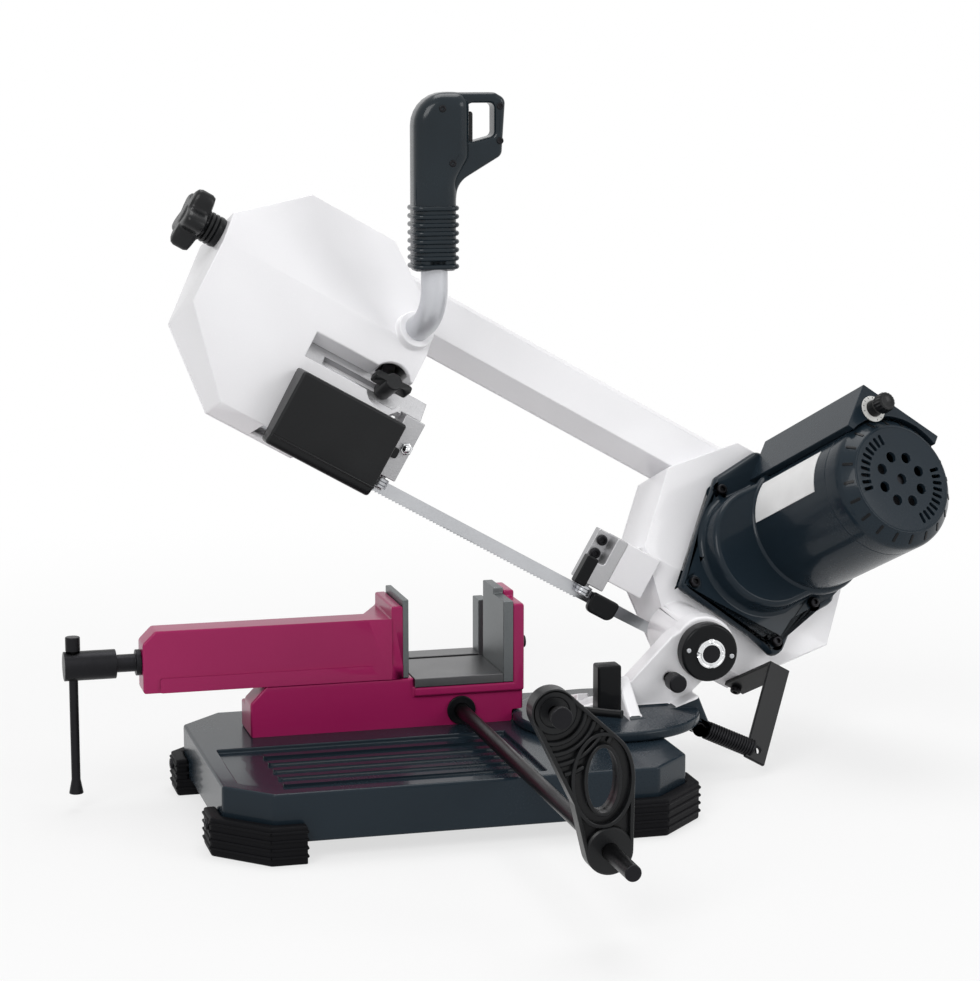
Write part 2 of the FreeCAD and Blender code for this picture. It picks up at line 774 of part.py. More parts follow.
arm_back_y = arm_front_y + arm_thickness
turntable_top_z = base_top_z + seat_gap + turntable_thickness
lever_place = Vec(swivel_x + (turntable_r - lever_post_r * 2) * math.cos(math.radians(lever_angle)),
                  swivel_y + (turntable_r - lever_post_r * 2) * math.sin(math.radians(lever_angle)),
                  turntable_top_z)


def make_arm():
    plate = rod(turntable_r, Vec(swivel_x, swivel_y, base_top_z + seat_gap), Z_AXIS,
                turntable_thickness)
    web = prism([Vec(arm_foot_left_x, arm_front_y, turntable_top_z),
                 Vec(arm_foot_right_x, arm_front_y, turntable_top_z),
                 Vec(arm_waist_right_x, arm_front_y, arm_waist_right_z),
                 Vec(pivot_x + arm_hub_r, arm_front_y, pivot_z),
                 Vec(pivot_x, arm_front_y, pivot_z + arm_hub_r),
                 Vec(pivot_x - arm_hub_r, arm_front_y, pivot_z + arm_hub_r / 2),
                 Vec(arm_waist_left_x, arm_front_y, arm_waist_left_z)], Y_AXIS * arm_thickness)
    hub = rod(arm_hub_r, Vec(pivot_x, arm_front_y, pivot_z), Y_AXIS, arm_thickness)
    rib = prism([Vec(arm_foot_left_x + arm_rib_thickness, arm_back_y, turntable_top_z),
                 Vec(arm_foot_left_x + arm_rib_thickness, arm_rib_back_y, turntable_top_z),
                 Vec(arm_foot_left_x + arm_rib_thickness, arm_back_y, arm_waist_left_z)],
                 X_AXIS * arm_rib_thickness)
    toe = prism([Vec(arm_waist_left_x, arm_front_y, turntable_top_z),
                 Vec(arm_waist_left_x, swivel_y - turntable_r * arm_toe_share, turntable_top_z),
                 Vec(arm_waist_left_x, arm_front_y, arm_rib_top_z)], X_AXIS * arm_rib_thickness)
    tail = prism([Vec(arm_foot_right_x - tail_r, arm_front_y, turntable_top_z),
                  Vec(arm_waist_right_x, arm_front_y, arm_waist_right_z),
                  Vec(tail_x + tail_r, arm_front_y, tail_z), Vec(tail_x, arm_front_y, tail_z - tail_r),
                  Vec(tail_x - tail_r, arm_front_y, tail_z)],
                  Y_AXIS * -(arm_front_y - spring_y + 2 * spring_wire_r))
    body = fuse([plate, web, hub, rib, toe, tail])
    body = body.cut(rod(axle_r, Vec(pivot_x, arm_front_y - overrun, pivot_z), Y_AXIS,
                        arm_thickness + 2 * overrun))
    body = body.cut(rod(swivel_bolt_r, swivel_centre, Z_AXIS, turntable_thickness + 2 * overrun))
    body = body.cut(rod(lock_pin_r + slide_gap, Vec(lock_pin_x, arm_front_y - overrun, lock_pin_z),
                        Y_AXIS,
                        arm_thickness + 2 * overrun))
    body = body.cut(rod(lever_post_r + running_gap, lever_place - Z_AXIS * turntable_thickness / 2,
                        Z_AXIS, turntable_thickness))
    body = body.cut(rod(tail_hole_r, Vec(tail_x, 0, tail_z), Y_AXIS, arm_back_y))
    keep("swivel_arm", body)
    bolt = rod(swivel_bolt_r, Vec(swivel_x, swivel_y, base_bottom_z + swivel_bolt_head), Z_AXIS,
               turntable_top_z - base_bottom_z - swivel_bolt_head)
    head = rod(swivel_bolt_head_r, Vec(swivel_x, swivel_y, base_bottom_z + overrun - seat_gap), Z_AXIS,
               swivel_bolt_head)
    keep("swivel_bolt", fuse([bolt, head]))
    keep("pivot_axle", rod(axle_r, Vec(pivot_x, axle_front_y, pivot_z), Y_AXIS,
                           axle_back_y - axle_front_y))
    disc_y = arm_front_y - pivot_disc_thickness
    disc = ring(pivot_disc_r, axle_r, Vec(pivot_x, disc_y, pivot_z), Y_AXIS, pivot_disc_thickness)
    keep("pivot_disc", disc)
    keep("pivot_ring", ring(pivot_ring_r, axle_r, Vec(pivot_x, disc_y - pivot_ring_thickness / 2,
                                                      pivot_z), Y_AXIS,
                            pivot_ring_thickness / 2))
    keep("stop_post", box(post_x, post_x + post_length, post_y - post_depth - arm_thickness / 2,
                          post_y - arm_thickness / 2,
                          turntable_top_z, post_top_z))
    post = rod(lever_post_r, lever_place - Z_AXIS * turntable_thickness / 2, Z_AXIS,
               lever_post_height + turntable_thickness / 2)
    way = Vec(math.cos(math.radians(lever_angle + 90)), math.sin(math.radians(lever_angle + 90)), 0)
    grip = rod(lever_arm_r, lever_place + Z_AXIS * (lever_post_height - lever_arm_r), way,
               lever_arm_length)
    keep("swivel_lever", fuse([post, grip]))
    knob = rod(lock_pin_knob_r, Vec(lock_pin_x, arm_front_y - lock_pin_travel - lock_pin_knob_length,
                                    lock_pin_z), Y_AXIS,
               lock_pin_knob_length)
    pin = rod(lock_pin_r, Vec(lock_pin_x, arm_front_y - lock_pin_travel, lock_pin_z), Y_AXIS,
              arm_thickness + lock_pin_travel)
    keep("bow_lock_pin", fuse([knob, pin]))


def octagon(centre_u, half, low, high):
    """Eight-sided block round a wheel, in the wheels' plane."""
    side = half * math.tan(math.pi / 8)
    corners = [(-side, -half), (side, -half), (half, -side), (half, side),
               (side, half), (-side, half), (-half, side), (-half, -side)]
    return prism([Vec(centre_u + u, w, low) for u, w in corners], Z_AXIS * (high - low))


def section_block(section, start_u, end_u):
    """A section across the wheel and along the shaft, run along the bow."""
    return prism([Vec(start_u, w, n) for w, n in section], X_AXIS * (end_u - start_u))


def idle_section(inset):
    half = casing_half - inset
    back = -casing_back - (overrun if inset else 0)
    return [(-half, back), (half, back), (half, casing_top_front - inset),
            (casing_ridge_w, casing_ridge_front - inset), (-half, casing_lower_front - inset)]


def drive_section(inset):
    half = casing_half - inset
    back = -casing_back - (overrun if inset else 0)
    shoulder = -casing_half * lower_shoulder_share
    return [(-half, back), (half, back), (half, drive_front - inset),
            (shoulder, drive_front - inset), (-half, casing_lower_front - inset)]


def beam_section(inset):
    back = -casing_back - (overrun if inset else 0)
    bevel = beam_bevel
    return [(beam_low_w + inset, back), (beam_high_w - inset, back),
            (beam_high_w - inset, beam_front - bevel - inset),
            (beam_high_w - bevel - inset, beam_front - inset), (beam_low_w + inset, beam_front - inset)]


def idle_casing(inset):
    half = casing_half - inset
    block = octagon(idle_x, half, -casing_back - overrun, casing_ridge_front)
    return block.common(section_block(idle_section(inset), idle_x - half, idle_x + half))


def drive_casing(inset):
    half = casing_half - inset
    block = octagon(drive_wheel_x, half, -casing_back - overrun, casing_ridge_front)
    return block.common(section_block(drive_section(inset), drive_wheel_x - half, drive_wheel_x + half))


def bow_beam(inset):
    return section_block(beam_section(inset), idle_x, drive_wheel_x)


to_wheels = wheels_to_room.inverse()
motor_x = gear_module * (drive_gear_teeth + pinion_teeth) / 2
row_place = FreeCAD.Placement(Vec(drive_wheel_x, 0, 0), FreeCAD.Rotation(Z_AXIS, motor_angle))
carriage_mid_n = carriage_front + carriage_thickness / 2
bar_mid_w = (guide_bar_low_w + guide_bar_high_w) / 2
pivot_boss_front_y = arm_back_y + pivot_boss_front_gap
guide_head_y0 = blade_y - guide_head_depth / 2
guide_head_y1 = blade_y + guide_head_depth / 2


def cover_places():
    """Screw places of the rear cover: round both casings and along the beam."""
    reach = casing_half - cover_boss_r
    side = reach * math.tan(math.pi / 8)
    places = []
    for centre, out in ((idle_x, -1), (drive_wheel_x, 1)):
        places += [(centre + out * side, reach), (centre + out * side, -reach)]
        places += [(centre + out * reach, side), (centre + out * reach, -side)]
    return places


def make_bow_casting():
    outer = fuse([idle_casing(0), drive_casing(0), bow_beam(0)])
    rooms = [idle_casing(casing_wall), drive_casing(casing_wall), bow_beam(casing_wall)]
    shell = outer.cut(rooms[0]).cut(rooms[1]).cut(rooms[2])
    bar_housing = box(guide_bar_left - casing_wall, idle_x + casing_half, guide_bar_low_w - casing_wall,
                      guide_bar_high_w + casing_wall, wheel_hub_length / 2 + overrun,
                      casing_ridge_front).common(outer)
    rail = box(idle_x - carriage_length, idle_x + carriage_length, carriage_low_w, carriage_high_w,
               carriage_front + carriage_thickness + slide_gap, casing_ridge_front).common(outer)
    bearing = rod(wheel_hub_r, Vec(drive_wheel_x, 0, wheel_hub_length / 2 + seat_gap), Z_AXIS,
                  drive_front - wheel_hub_length / 2 - seat_gap)
    screw_bosses = [rod(cover_boss_r, Vec(u, w, -casing_back), Z_AXIS,
                        casing_back + drive_front / 2).common(outer)
                    for u, w in cover_places()]
    handle_boss = rod(tube_foot_r,
                      Vec(handle_corner.x, handle_corner.y, handle_boss_top - tube_foot_length), Z_AXIS,
                      tube_foot_length)
    tension_boss = rod(tension_boss_r, Vec(idle_x - casing_half, tension_w, carriage_mid_n), X_AXIS,
                       casing_wall * 2)
    casting = fuse([shell, bar_housing, rail, bearing, handle_boss, tension_boss] + screw_bosses)
    bar_slot = box(guide_bar_left - slide_gap, idle_x + 2 * casing_half, guide_bar_low_w - slide_gap,
                   guide_bar_high_w + slide_gap, guide_bar_back - slide_gap, casing_ridge_front)
    blade_way = box(idle_x, drive_wheel_x, -wheel_r - blade_way_room, -wheel_r + blade_way_room,
                    -wheel_room, wheel_room)
    shaft_bore = rod(drive_shaft_r + running_gap, Vec(drive_wheel_x, 0, 0), Z_AXIS,
                     drive_front + overrun)
    tension_bore = rod(tension_screw_r + running_gap, Vec(idle_x - casing_half - overrun, tension_w,
                                                          carriage_mid_n), X_AXIS,
                       casing_wall * 3)
    casting = casting.cut(bar_slot).cut(blade_way).cut(shaft_bore).cut(tension_bore)
    wing_hole = rod(wing_screw_r + running_gap, Vec(wing_x, bar_mid_w, 0), Z_AXIS, guide_bar_back)
    wing_pocket = rod(wing_length / 2 + overrun, Vec(wing_x, bar_mid_w, guide_bar_front), Z_AXIS,
                      casing_ridge_front)
    wheel_way = rod(wheel_r + wheel_flange + overrun, Vec(idle_x + tension_travel, 0, -casing_back),
                    Z_AXIS, casing_back + wheel_room)
    casting = casting.cut(wing_hole).cut(wing_pocket).cut(wheel_way)
    for u, w in cover_places():
        casting = casting.cut(rod(cover_screw_r, Vec(u, w, -casing_back - overrun), Z_AXIS,
                                  cover_screw_length + overrun))
    casting = wheels_to_bow(casting)
    notch = box(left_guide_x - guide_plate_half - overrun, idle_x + 2 * casing_half,
                guide_head_y0 - overrun,
                guide_head_y1 + overrun, guard_bottom_z, guide_plate_top + overrun)
    casting = casting.cut(notch)
    boss = rod(pivot_boss_r, Vec(0, pivot_boss_front_y, 0), Y_AXIS,
               pivot_boss_back_y - pivot_boss_front_y)
    pad = box(guide_pad_left, guide_pad_right, blade_y - guide_pad_front, blade_y + guide_pad_back,
              guide_pad_low, guide_pad_high)
    room = wheels_to_bow(drive_casing(casing_wall))
    casting = fuse([casting, boss.cut(room), pad.cut(room)])
    bush_bore = rod(axle_r + pivot_bush_wall, Vec(0, pivot_boss_front_y - overrun, 0), Y_AXIS,
                    axle_back_y - pivot_boss_front_y + overrun + seat_gap)
    keep("bow_casting", in_bow(casting.cut(bush_bore)))
    bush = ring(axle_r + pivot_bush_wall, axle_r + running_gap, Vec(0, pivot_boss_front_y, 0), Y_AXIS,
                axle_back_y - pivot_boss_front_y)
    keep("pivot_bush", in_bow(bush))


def make_rear_cover():
    plates = []
    for block in (octagon(idle_x, casing_half, -casing_back - cover_thickness, -casing_back),
                  octagon(drive_wheel_x, casing_half, -casing_back - cover_thickness, -casing_back),
                  box(idle_x, drive_wheel_x, beam_low_w, beam_high_w, -casing_back - cover_thickness,
                      -casing_back)):
        plates.append(block)
    cover = fuse(plates)
    screws = []
    for u, w in cover_places():
        cover = cover.cut(rod(cover_screw_r, Vec(u, w, -casing_back - 2 * cover_thickness), Z_AXIS,
                              3 * cover_thickness))
        head = rod(cover_screw_head_r, Vec(u, w, -casing_back - cover_thickness - cover_screw_head),
                   Z_AXIS, cover_screw_head)
        shank = rod(cover_screw_r, Vec(u, w, -casing_back - cover_thickness), Z_AXIS,
                    cover_screw_length + cover_thickness)
        screws.append(fuse([head, shank]))
    keep("rear_cover", in_wheels(cover))
    keep("cover_screws", in_wheels(group(screws)))


def wheel_disc(centre_u, bore):
    rim = ring(wheel_r, wheel_r - wheel_rim, Vec(centre_u, 0, -wheel_width / 2), Z_AXIS, wheel_width)
    flange = ring(wheel_r + wheel_flange, wheel_r - wheel_rim,
                  Vec(centre_u, 0, blade_width / 2 + seat_gap), Z_AXIS,
                  wheel_flange_width)
    web = rod(wheel_r - wheel_rim / 2, Vec(centre_u, 0, -wheel_web / 2), Z_AXIS, wheel_web)
    hub = rod(wheel_hub_r, Vec(centre_u, 0, -wheel_hub_length / 2), Z_AXIS, wheel_hub_length)
    disc = fuse([rim, flange, web, hub])
    hole_ring = (wheel_hub_r + wheel_r - wheel_rim) / 2
    for i in range(wheel_hole_count):
        angle = 2 * math.pi * i / wheel_hole_count
        place = Vec(centre_u + hole_ring * math.cos(angle), hole_ring * math.sin(angle), -wheel_web)
        disc = disc.cut(rod(wheel_hole_r, place, Z_AXIS, 2 * wheel_web))
    return disc.cut(rod(bore, Vec(centre_u, 0, -wheel_hub_length), Z_AXIS, 2 * wheel_hub_length))


def spur_gear(teeth, centre_u, low, turn, bore):
    """Straight-cut gear with tapered teeth a little thinner than half the pitch."""
    pitch_r = gear_module * teeth / 2
    step = 2 * math.pi / teeth
    root = pitch_r - gear_module * gear_dedendum_share
    tip = pitch_r + gear_module * gear_addendum_share
    points = []
    for i in range(teeth):
        middle = turn + i * step
        for share, radius in ((-gear_root_share, root), (-gear_tip_share, tip), (gear_tip_share, tip),
                              (gear_root_share, root)):
            angle = middle + share * step
            points.append(Vec(centre_u + radius * math.cos(angle), radius * math.sin(angle), low))
    return prism(points, Z_AXIS * gear_width).cut(rod(bore, Vec(centre_u, 0, low - overrun), Z_AXIS,
                                                      gear_width + 2 * overrun))


gear_low = drive_front + gear_case_wall + overrun


def make_wheels():
    keep("drive_wheel", in_wheels(wheel_disc(drive_wheel_x, drive_shaft_r)))
    shaft = rod(drive_shaft_r, Vec(drive_wheel_x, 0, -wheel_hub_length / 2), Z_AXIS,
                gear_low + gear_width + wheel_hub_length / 2)
    keep("drive_shaft", in_wheels(shaft))
    keep("drive_gear", in_row(spur_gear(drive_gear_teeth, 0, gear_low, 0, drive_shaft_r)))
    keep("idle_wheel", in_wheels(wheel_disc(idle_x, idle_axle_r + running_gap)))
    block = box(idle_x - carriage_length / 2, idle_x + carriage_length / 2, carriage_low_w,
                carriage_high_w,
                carriage_front, carriage_front + carriage_thickness)
    screw_hole = rod(tension_screw_r + running_gap,
                     Vec(idle_x - carriage_length, tension_w, carriage_mid_n), X_AXIS, carriage_length)
    axle = rod(idle_axle_r, Vec(idle_x, 0, -wheel_hub_length / 2 - overrun), Z_AXIS,
               carriage_front + wheel_hub_length / 2 + overrun)
    collar = rod(idle_axle_r + overrun, Vec(idle_x, 0, wheel_hub_length / 2 + seat_gap), Z_AXIS,
                 carriage_front - wheel_hub_length / 2 - seat_gap)
    clip = rod(idle_axle_r + overrun, Vec(idle_x, 0, -wheel_hub_length / 2 - seat_gap - overrun),
               Z_AXIS, overrun)
    keep("tension_carriage", in_wheels(fuse([block.cut(screw_hole), axle, collar, clip])))


def make_tension_knob():
    left = idle_x - casing_half - seat_gap
    hub = rod(tension_hub_r, Vec(left - tension_hub_length, tension_w, carriage_mid_n), X_AXIS,
              tension_hub_length)
    screw = rod(tension_screw_r, Vec(left, tension_w, carriage_mid_n), X_AXIS, idle_x - left)
    start = left - tension_hub_length - tension_lobe_length
    core = rod(tension_lobe_ring_r, Vec(start, tension_w, carriage_mid_n), X_AXIS, tension_lobe_length)
    lobes = []
    for i in range(tension_lobe_count):
        angle = 2 * math.pi * i / tension_lobe_count
        place = Vec(start, tension_w + tension_lobe_ring_r * math.cos(angle),
                    carriage_mid_n + tension_lobe_ring_r * math.sin(angle))
        lobes.append(rod(tension_lobe_r, place, X_AXIS, tension_lobe_length))
    keep("tension_knob", in_wheels(fuse([hub, screw, core] + lobes)))


case_top = drive_front + gear_case_depth
flange_top = drive_front + gear_flange_thickness
motor_top = case_top + motor_length
cap_top = motor_top + motor_cap_length


def beside_drive(shares):
    """Places round the drive axis, given along and across the bow, turned into the motor's row."""
    angle = math.radians(motor_angle)
    return [(casing_half * (u * math.cos(angle) + w * math.sin(angle)),
             casing_half * (w * math.cos(angle) - u * math.sin(angle))) for u, w in shares]


def make_drive():
    body = fuse([rod(gear_case_wheel_r, Vec(0, 0, drive_front), Z_AXIS, gear_case_depth),
                 rod(motor_r, Vec(motor_x, 0, drive_front), Z_AXIS, gear_case_depth),
                 box(0, motor_x, -gear_case_wheel_r, gear_case_wheel_r, drive_front, case_top),
                 prism([Vec(u, w, drive_front) for u, w in beside_drive(gear_flange_shares)],
                       Z_AXIS * gear_flange_thickness)])
    gear_tip = gear_module * (drive_gear_teeth / 2 + 1)
    pinion_tip = gear_module * (pinion_teeth / 2 + 1)
    depth = gear_case_depth - gear_case_wall
    room = fuse([rod(gear_tip + overrun, Vec(0, 0, drive_front - overrun), Z_AXIS, depth + overrun),
                 rod(pinion_tip + overrun, Vec(motor_x, 0, drive_front - overrun), Z_AXIS,
                     depth + overrun)])
    body = body.cut(room)
    body = body.cut(rod(rotor_shaft_r + running_gap, Vec(motor_x, 0, drive_front), Z_AXIS,
                        gear_case_depth + overrun))
    screws = []
    for u, w in beside_drive(gear_screw_shares):
        body = body.cut(rod(gear_screw_r, Vec(u, w, drive_front - overrun), Z_AXIS,
                            gear_case_depth + 2 * overrun))
        head = rod(gear_screw_head_r, Vec(u, w, flange_top), Z_AXIS, gear_screw_head)
        shank = rod(gear_screw_r, Vec(u, w, drive_front), Z_AXIS, gear_flange_thickness)
        screws.append(fuse([head, shank]))
    keep("gear_case", in_row(body))
    keep("gear_case_screws", in_row(group(screws)))
    keep("motor_housing", in_row(ring(motor_r, motor_r - motor_wall, Vec(motor_x, 0, case_top), Z_AXIS,
                                      motor_length)))
    half = motor_cap_length / 2
    cap = fuse([rod(motor_r, Vec(motor_x, 0, motor_top), Z_AXIS, half),
                Part.makeCone(motor_r, motor_cap_face_r, half, Vec(motor_x, 0, motor_top + half),
                              Z_AXIS)])
    hollow_r = motor_cap_face_r
    cap = cap.cut(rod(hollow_r, Vec(motor_x, 0, motor_top - overrun), Z_AXIS,
                      motor_cap_length - motor_wall + overrun))
    bearing_length = motor_cap_length / 3
    bearing = rod(vent_inner_ring_r - vent_r - overrun / 4,
                  Vec(motor_x, 0, cap_top - motor_wall - bearing_length), Z_AXIS, bearing_length)
    cap = fuse([cap, bearing])
    for count, reach in ((vent_count, vent_ring_r), (vent_inner_count, vent_inner_ring_r)):
        for i in range(count):
            angle = 2 * math.pi * i / count
            place = Vec(motor_x + reach * math.cos(angle), reach * math.sin(angle),
                        cap_top - motor_wall - overrun)
            cap = cap.cut(rod(vent_r, place, Z_AXIS, motor_wall + 2 * overrun))
    for i in range(cap_slot_count):
        slot = box(hollow_r - cap_slot_length, motor_r + overrun, -cap_slot_width / 2,
                   cap_slot_width / 2,
                   cap_top - motor_wall - cap_slot_length, cap_top - motor_wall)
        slot.rotate(Vec(0, 0, 0), Z_AXIS, math.degrees(2 * math.pi * i / cap_slot_count))
        slot.translate(Vec(motor_x, 0, 0))
        cap = cap.cut(slot)
    shaft_end = cap_top - motor_wall - overrun
    cap = cap.cut(rod(rotor_shaft_r + running_gap, Vec(motor_x, 0, motor_top), Z_AXIS,
                      shaft_end + seat_gap - motor_top))
    keep("motor_cap", in_row(cap))
    core_low = case_top + (motor_length - rotor_length) / 2
    pinion = spur_gear(pinion_teeth, motor_x, gear_low, math.pi + math.pi / pinion_teeth,
                       rotor_shaft_r - overrun)
    shaft = rod(rotor_shaft_r, Vec(motor_x, 0, gear_low), Z_AXIS, shaft_end - gear_low)
    core = rod(rotor_r, Vec(motor_x, 0, core_low), Z_AXIS, rotor_length)
    fan = rod(fan_r, Vec(motor_x, 0, motor_top - fan_thickness / 2), Z_AXIS, fan_thickness)
    keep("motor_rotor", in_row(fuse([pinion, shaft, core, fan])))


control_left_u = motor_x - motor_r - control_side_proud
control_right_u = motor_x + motor_r * control_right_share
control_low_w = motor_r * control_low_share
control_high_w = motor_r + control_top_proud
dial_u = control_left_u + dial_margin
dial_w = control_high_w - dial_margin
dial_n = flange_top + control_length


def on_motor(shape):
    """Turned about the motor from the row to where the control box sits."""
    turned = shape.copy()
    turned.rotate(Vec(motor_x, 0, 0), Z_AXIS, control_lean_angle - motor_angle)
    return in_row(turned)


def make_control_box():
    body = box(control_left_u, control_right_u, control_low_w, control_high_w, flange_top, dial_n)
    body = body.cut(rod(motor_r, Vec(motor_x, 0, drive_front), Z_AXIS, cap_top))
    room = box(control_left_u + control_wall, motor_x - motor_r * control_room_share,
               motor_r * control_room_share, control_high_w - control_wall,
               flange_top + control_wall, dial_n - control_wall)
    body = body.cut(room.cut(rod(motor_r + control_wall, Vec(motor_x, 0, drive_front), Z_AXIS, cap_top)))
    body = body.cut(rod(dial_shaft_r + running_gap, Vec(dial_u, dial_w, dial_n - 2 * control_wall), Z_AXIS,
                        3 * control_wall))
    keep("control_box", on_motor(body))
    plate = ring(dial_plate_r, dial_shaft_r + running_gap, Vec(dial_u, dial_w, dial_n), Z_AXIS,
                 dial_plate_thickness)
    keep("dial_plate", on_motor(plate))
    knob_low = dial_n + dial_plate_thickness + seat_gap
    knob = rod(dial_r, Vec(dial_u, dial_w, knob_low), Z_AXIS, dial_height)
    stem = rod(dial_shaft_r, Vec(dial_u, dial_w, dial_n - control_wall - overrun), Z_AXIS, dial_height)
    keep("speed_dial", on_motor(fuse([knob, stem])))


def guide_rollers(name, centre_x):
    """A roller each side of the blade, on pins that hang from the guide head."""
    reach = blade_thickness / 2 + roller_gap + roller_r
    top = -overrun
    for side, label in ((-1, "front"), (1, "back")):
        place = Vec(centre_x, blade_y + side * reach, top - roller_width)
        roller = ring(roller_r, roller_pin_r + running_gap, place, Z_AXIS, roller_width)
        keep(name + "_roller_" + label, in_bow(roller))


def guide_pins(centre_x):
    reach = blade_thickness / 2 + roller_gap + roller_r
    pins = []
    for side in (-1, 1):
        place = Vec(centre_x, blade_y + side * reach, -overrun - roller_width)
        pins.append(rod(roller_pin_r, place, Z_AXIS, roller_width + overrun))
        rest = place - Z_AXIS * (overrun + seat_gap)
        pins.append(rod(roller_pin_r + overrun, rest, Z_AXIS,
                        overrun).fuse(rod(roller_pin_r, rest, Z_AXIS, overrun + seat_gap)))
    return pins


def guide_head(centre_x):
    return box(centre_x - guide_plate_half, centre_x + guide_plate_half, guide_head_y0, guide_head_y1,
               0, guide_head_height)


bracket_screw_n = -casing_back / 4


def spring_bracket_screw():
    u = to_wheels.multVec(Vec(spring_end_x, spring_y, spring_end_z)).x
    head = rod(guide_screw_head_r, Vec(u, -casing_half - bracket_thickness - guide_screw_head,
                                       bracket_screw_n), Y_AXIS, guide_screw_head)
    shank = rod(guide_screw_r, Vec(u, -casing_half - bracket_thickness, bracket_screw_n), Y_AXIS,
                bracket_thickness)
    return in_wheels(fuse([head, shank]))


def make_guides():
    head = guide_head(left_guide_x)
    plate = box(left_guide_x - guide_plate_half, left_guide_x + guide_plate_half, guide_head_y0,
                guide_head_y1, 0, guide_plate_top)
    bar = box(guide_bar_left, left_guide_x + guide_plate_half, guide_bar_low_w, guide_bar_high_w,
              guide_bar_back, guide_bar_front)
    travel_slot = box(wing_x - guide_travel - wing_screw_r - overrun, wing_x + wing_screw_r + overrun,
                      bar_mid_w - wing_screw_r - slide_gap, bar_mid_w + wing_screw_r + slide_gap,
                      guide_bar_back - overrun, guide_bar_front + overrun)
    keep("guide_arm",
         in_bow(fuse([head, plate, wheels_to_bow(bar.cut(travel_slot))] + guide_pins(left_guide_x))))
    guide_rollers("left", left_guide_x)
    bracket = box(right_guide_x - guide_plate_half, guide_pad_left, guide_head_y0, guide_head_y1, 0,
                  guide_pad_high)
    keep("fixed_guide", in_bow(fuse([bracket] + guide_pins(right_guide_x))))
    guide_rollers("right", right_guide_x)
    shield = box(small_guard_left, small_guard_right, guide_head_y0 - guard_wall, guide_head_y0,
                 guard_bottom_z, guide_head_height)
    keep("blade_shield", in_bow(shield))
    screws = []
    for z in (guide_head_height + guide_screw_head_r, guide_pad_high - 2 * guide_screw_head_r):
        screws.append(rod(guide_screw_head_r, Vec(right_guide_x - guide_plate_half - guide_screw_head,
                                                  blade_y, z), X_AXIS, guide_screw_head))
    keep("bracket_screws", group([in_bow(screw) for screw in screws] + [spring_bracket_screw()]))
    wing_low = guide_bar_front + seat_gap
    hub = rod(wing_hub_r, Vec(wing_x, bar_mid_w, wing_low), Z_AXIS, wing_hub_length)
    stem = rod(wing_screw_r, Vec(wing_x, bar_mid_w, wheel_room + overrun), Z_AXIS,
               wing_low - wheel_room)
    wings = box(wing_x - wing_length / 2, wing_x + wing_length / 2, bar_mid_w - wing_thickness / 2,
                bar_mid_w + wing_thickness / 2,
                wing_low + wing_hub_length / 2, wing_low + wing_hub_length / 2 + wing_height)
    keep("guide_lock", in_wheels(fuse([hub, stem, wings])))


def face_y(height):
    """Where the idle casing's lower face stands at a height of the bow's frame."""
    low = wheel_place.multVec(Vec(0, -casing_half, casing_lower_front))
    high = wheel_place.multVec(Vec(0, casing_ridge_w, casing_ridge_front))
    return low.y + (height - low.z) * (high.y - low.y) / (high.z - low.z)


def make_guard():
    knee_z = guard_bottom_z + guard_chamfer

    def section(inset):
        front = guard_front_y + inset
        top = guard_top_z - inset
        back_top = face_y(guard_top_z) - guard_wall + (2 * guard_wall if inset else 0)
        back_low = face_y(knee_z) - guard_wall + (2 * guard_wall if inset else 0)
        return [(front, top), (back_top, top), (back_low, knee_z), (back_low, guard_bottom_z + inset),
                (front + guard_chamfer / 2, guard_bottom_z + inset), (front, knee_z)]

    outer = prism([Vec(guard_left, y, z) for y, z in section(0)], X_AXIS * (guard_right - guard_left))
    inner = prism([Vec(guard_left + guard_wall, y, z) for y, z in section(guard_wall)],
                  X_AXIS * (guard_right - guard_left - 2 * guard_wall))
    shell = outer.cut(inner)
    lug = box(guard_right - guard_wall, left_guide_x, guide_head_y0 - guard_wall, guide_head_y0,
              guide_head_height, guide_head_height + guide_plate_half)
    keep("blade_guard", in_bow(fuse([shell, lug])))


def blade_section(u, turn):
    """Rectangle of the band, turned about its own middle line."""
    middle = Vec(u, -blade_run_r, 0)
    across = Vec(0, math.sin(turn), math.cos(turn)) * (blade_width / 2)
    through = Vec(0, math.cos(turn), -math.sin(turn)) * (blade_thickness / 2)
    corners = [middle + across + through, middle + across - through, middle - across - through,
               middle - across + through]
    return Part.makePolygon(corners + [corners[0]])


def make_blade():
    inner = wheel_r + seat_gap
    outer = inner + blade_thickness
    half = blade_width / 2
    left = ring(outer, inner, Vec(idle_x, 0, -half), Z_AXIS, blade_width).common(
        box(idle_x - 2 * outer, idle_x, -2 * outer, 2 * outer, -blade_width, blade_width))
    right = ring(outer, inner, Vec(drive_wheel_x, 0, -half), Z_AXIS, blade_width).common(
        box(drive_wheel_x, drive_wheel_x + 2 * outer, -2 * outer, 2 * outer, -blade_width, blade_width))
    top = box(idle_x, drive_wheel_x, inner, outer, -half, half)
    spans = []
    for start, end, first, last in ((idle_x, idle_x + twist_lead, 0, 0),
                                    (idle_x + twist_lead, left_guide_x, 0, tilt),
                                    (left_guide_x, right_guide_x, tilt, tilt),
                                    (right_guide_x, drive_wheel_x, tilt, 0)):
        stations = [i / twist_steps for i in range(twist_steps + 1)]
        wires = [blade_section(start + (end - start) * t, first + (last - first) * t) for t in stations]
        if first == last:
            wires = [wires[0], wires[-1]]
        spans.append(Part.makeLoft(wires, True, True))
    keep("saw_blade", in_wheels(fuse([left, top, right] + spans)))


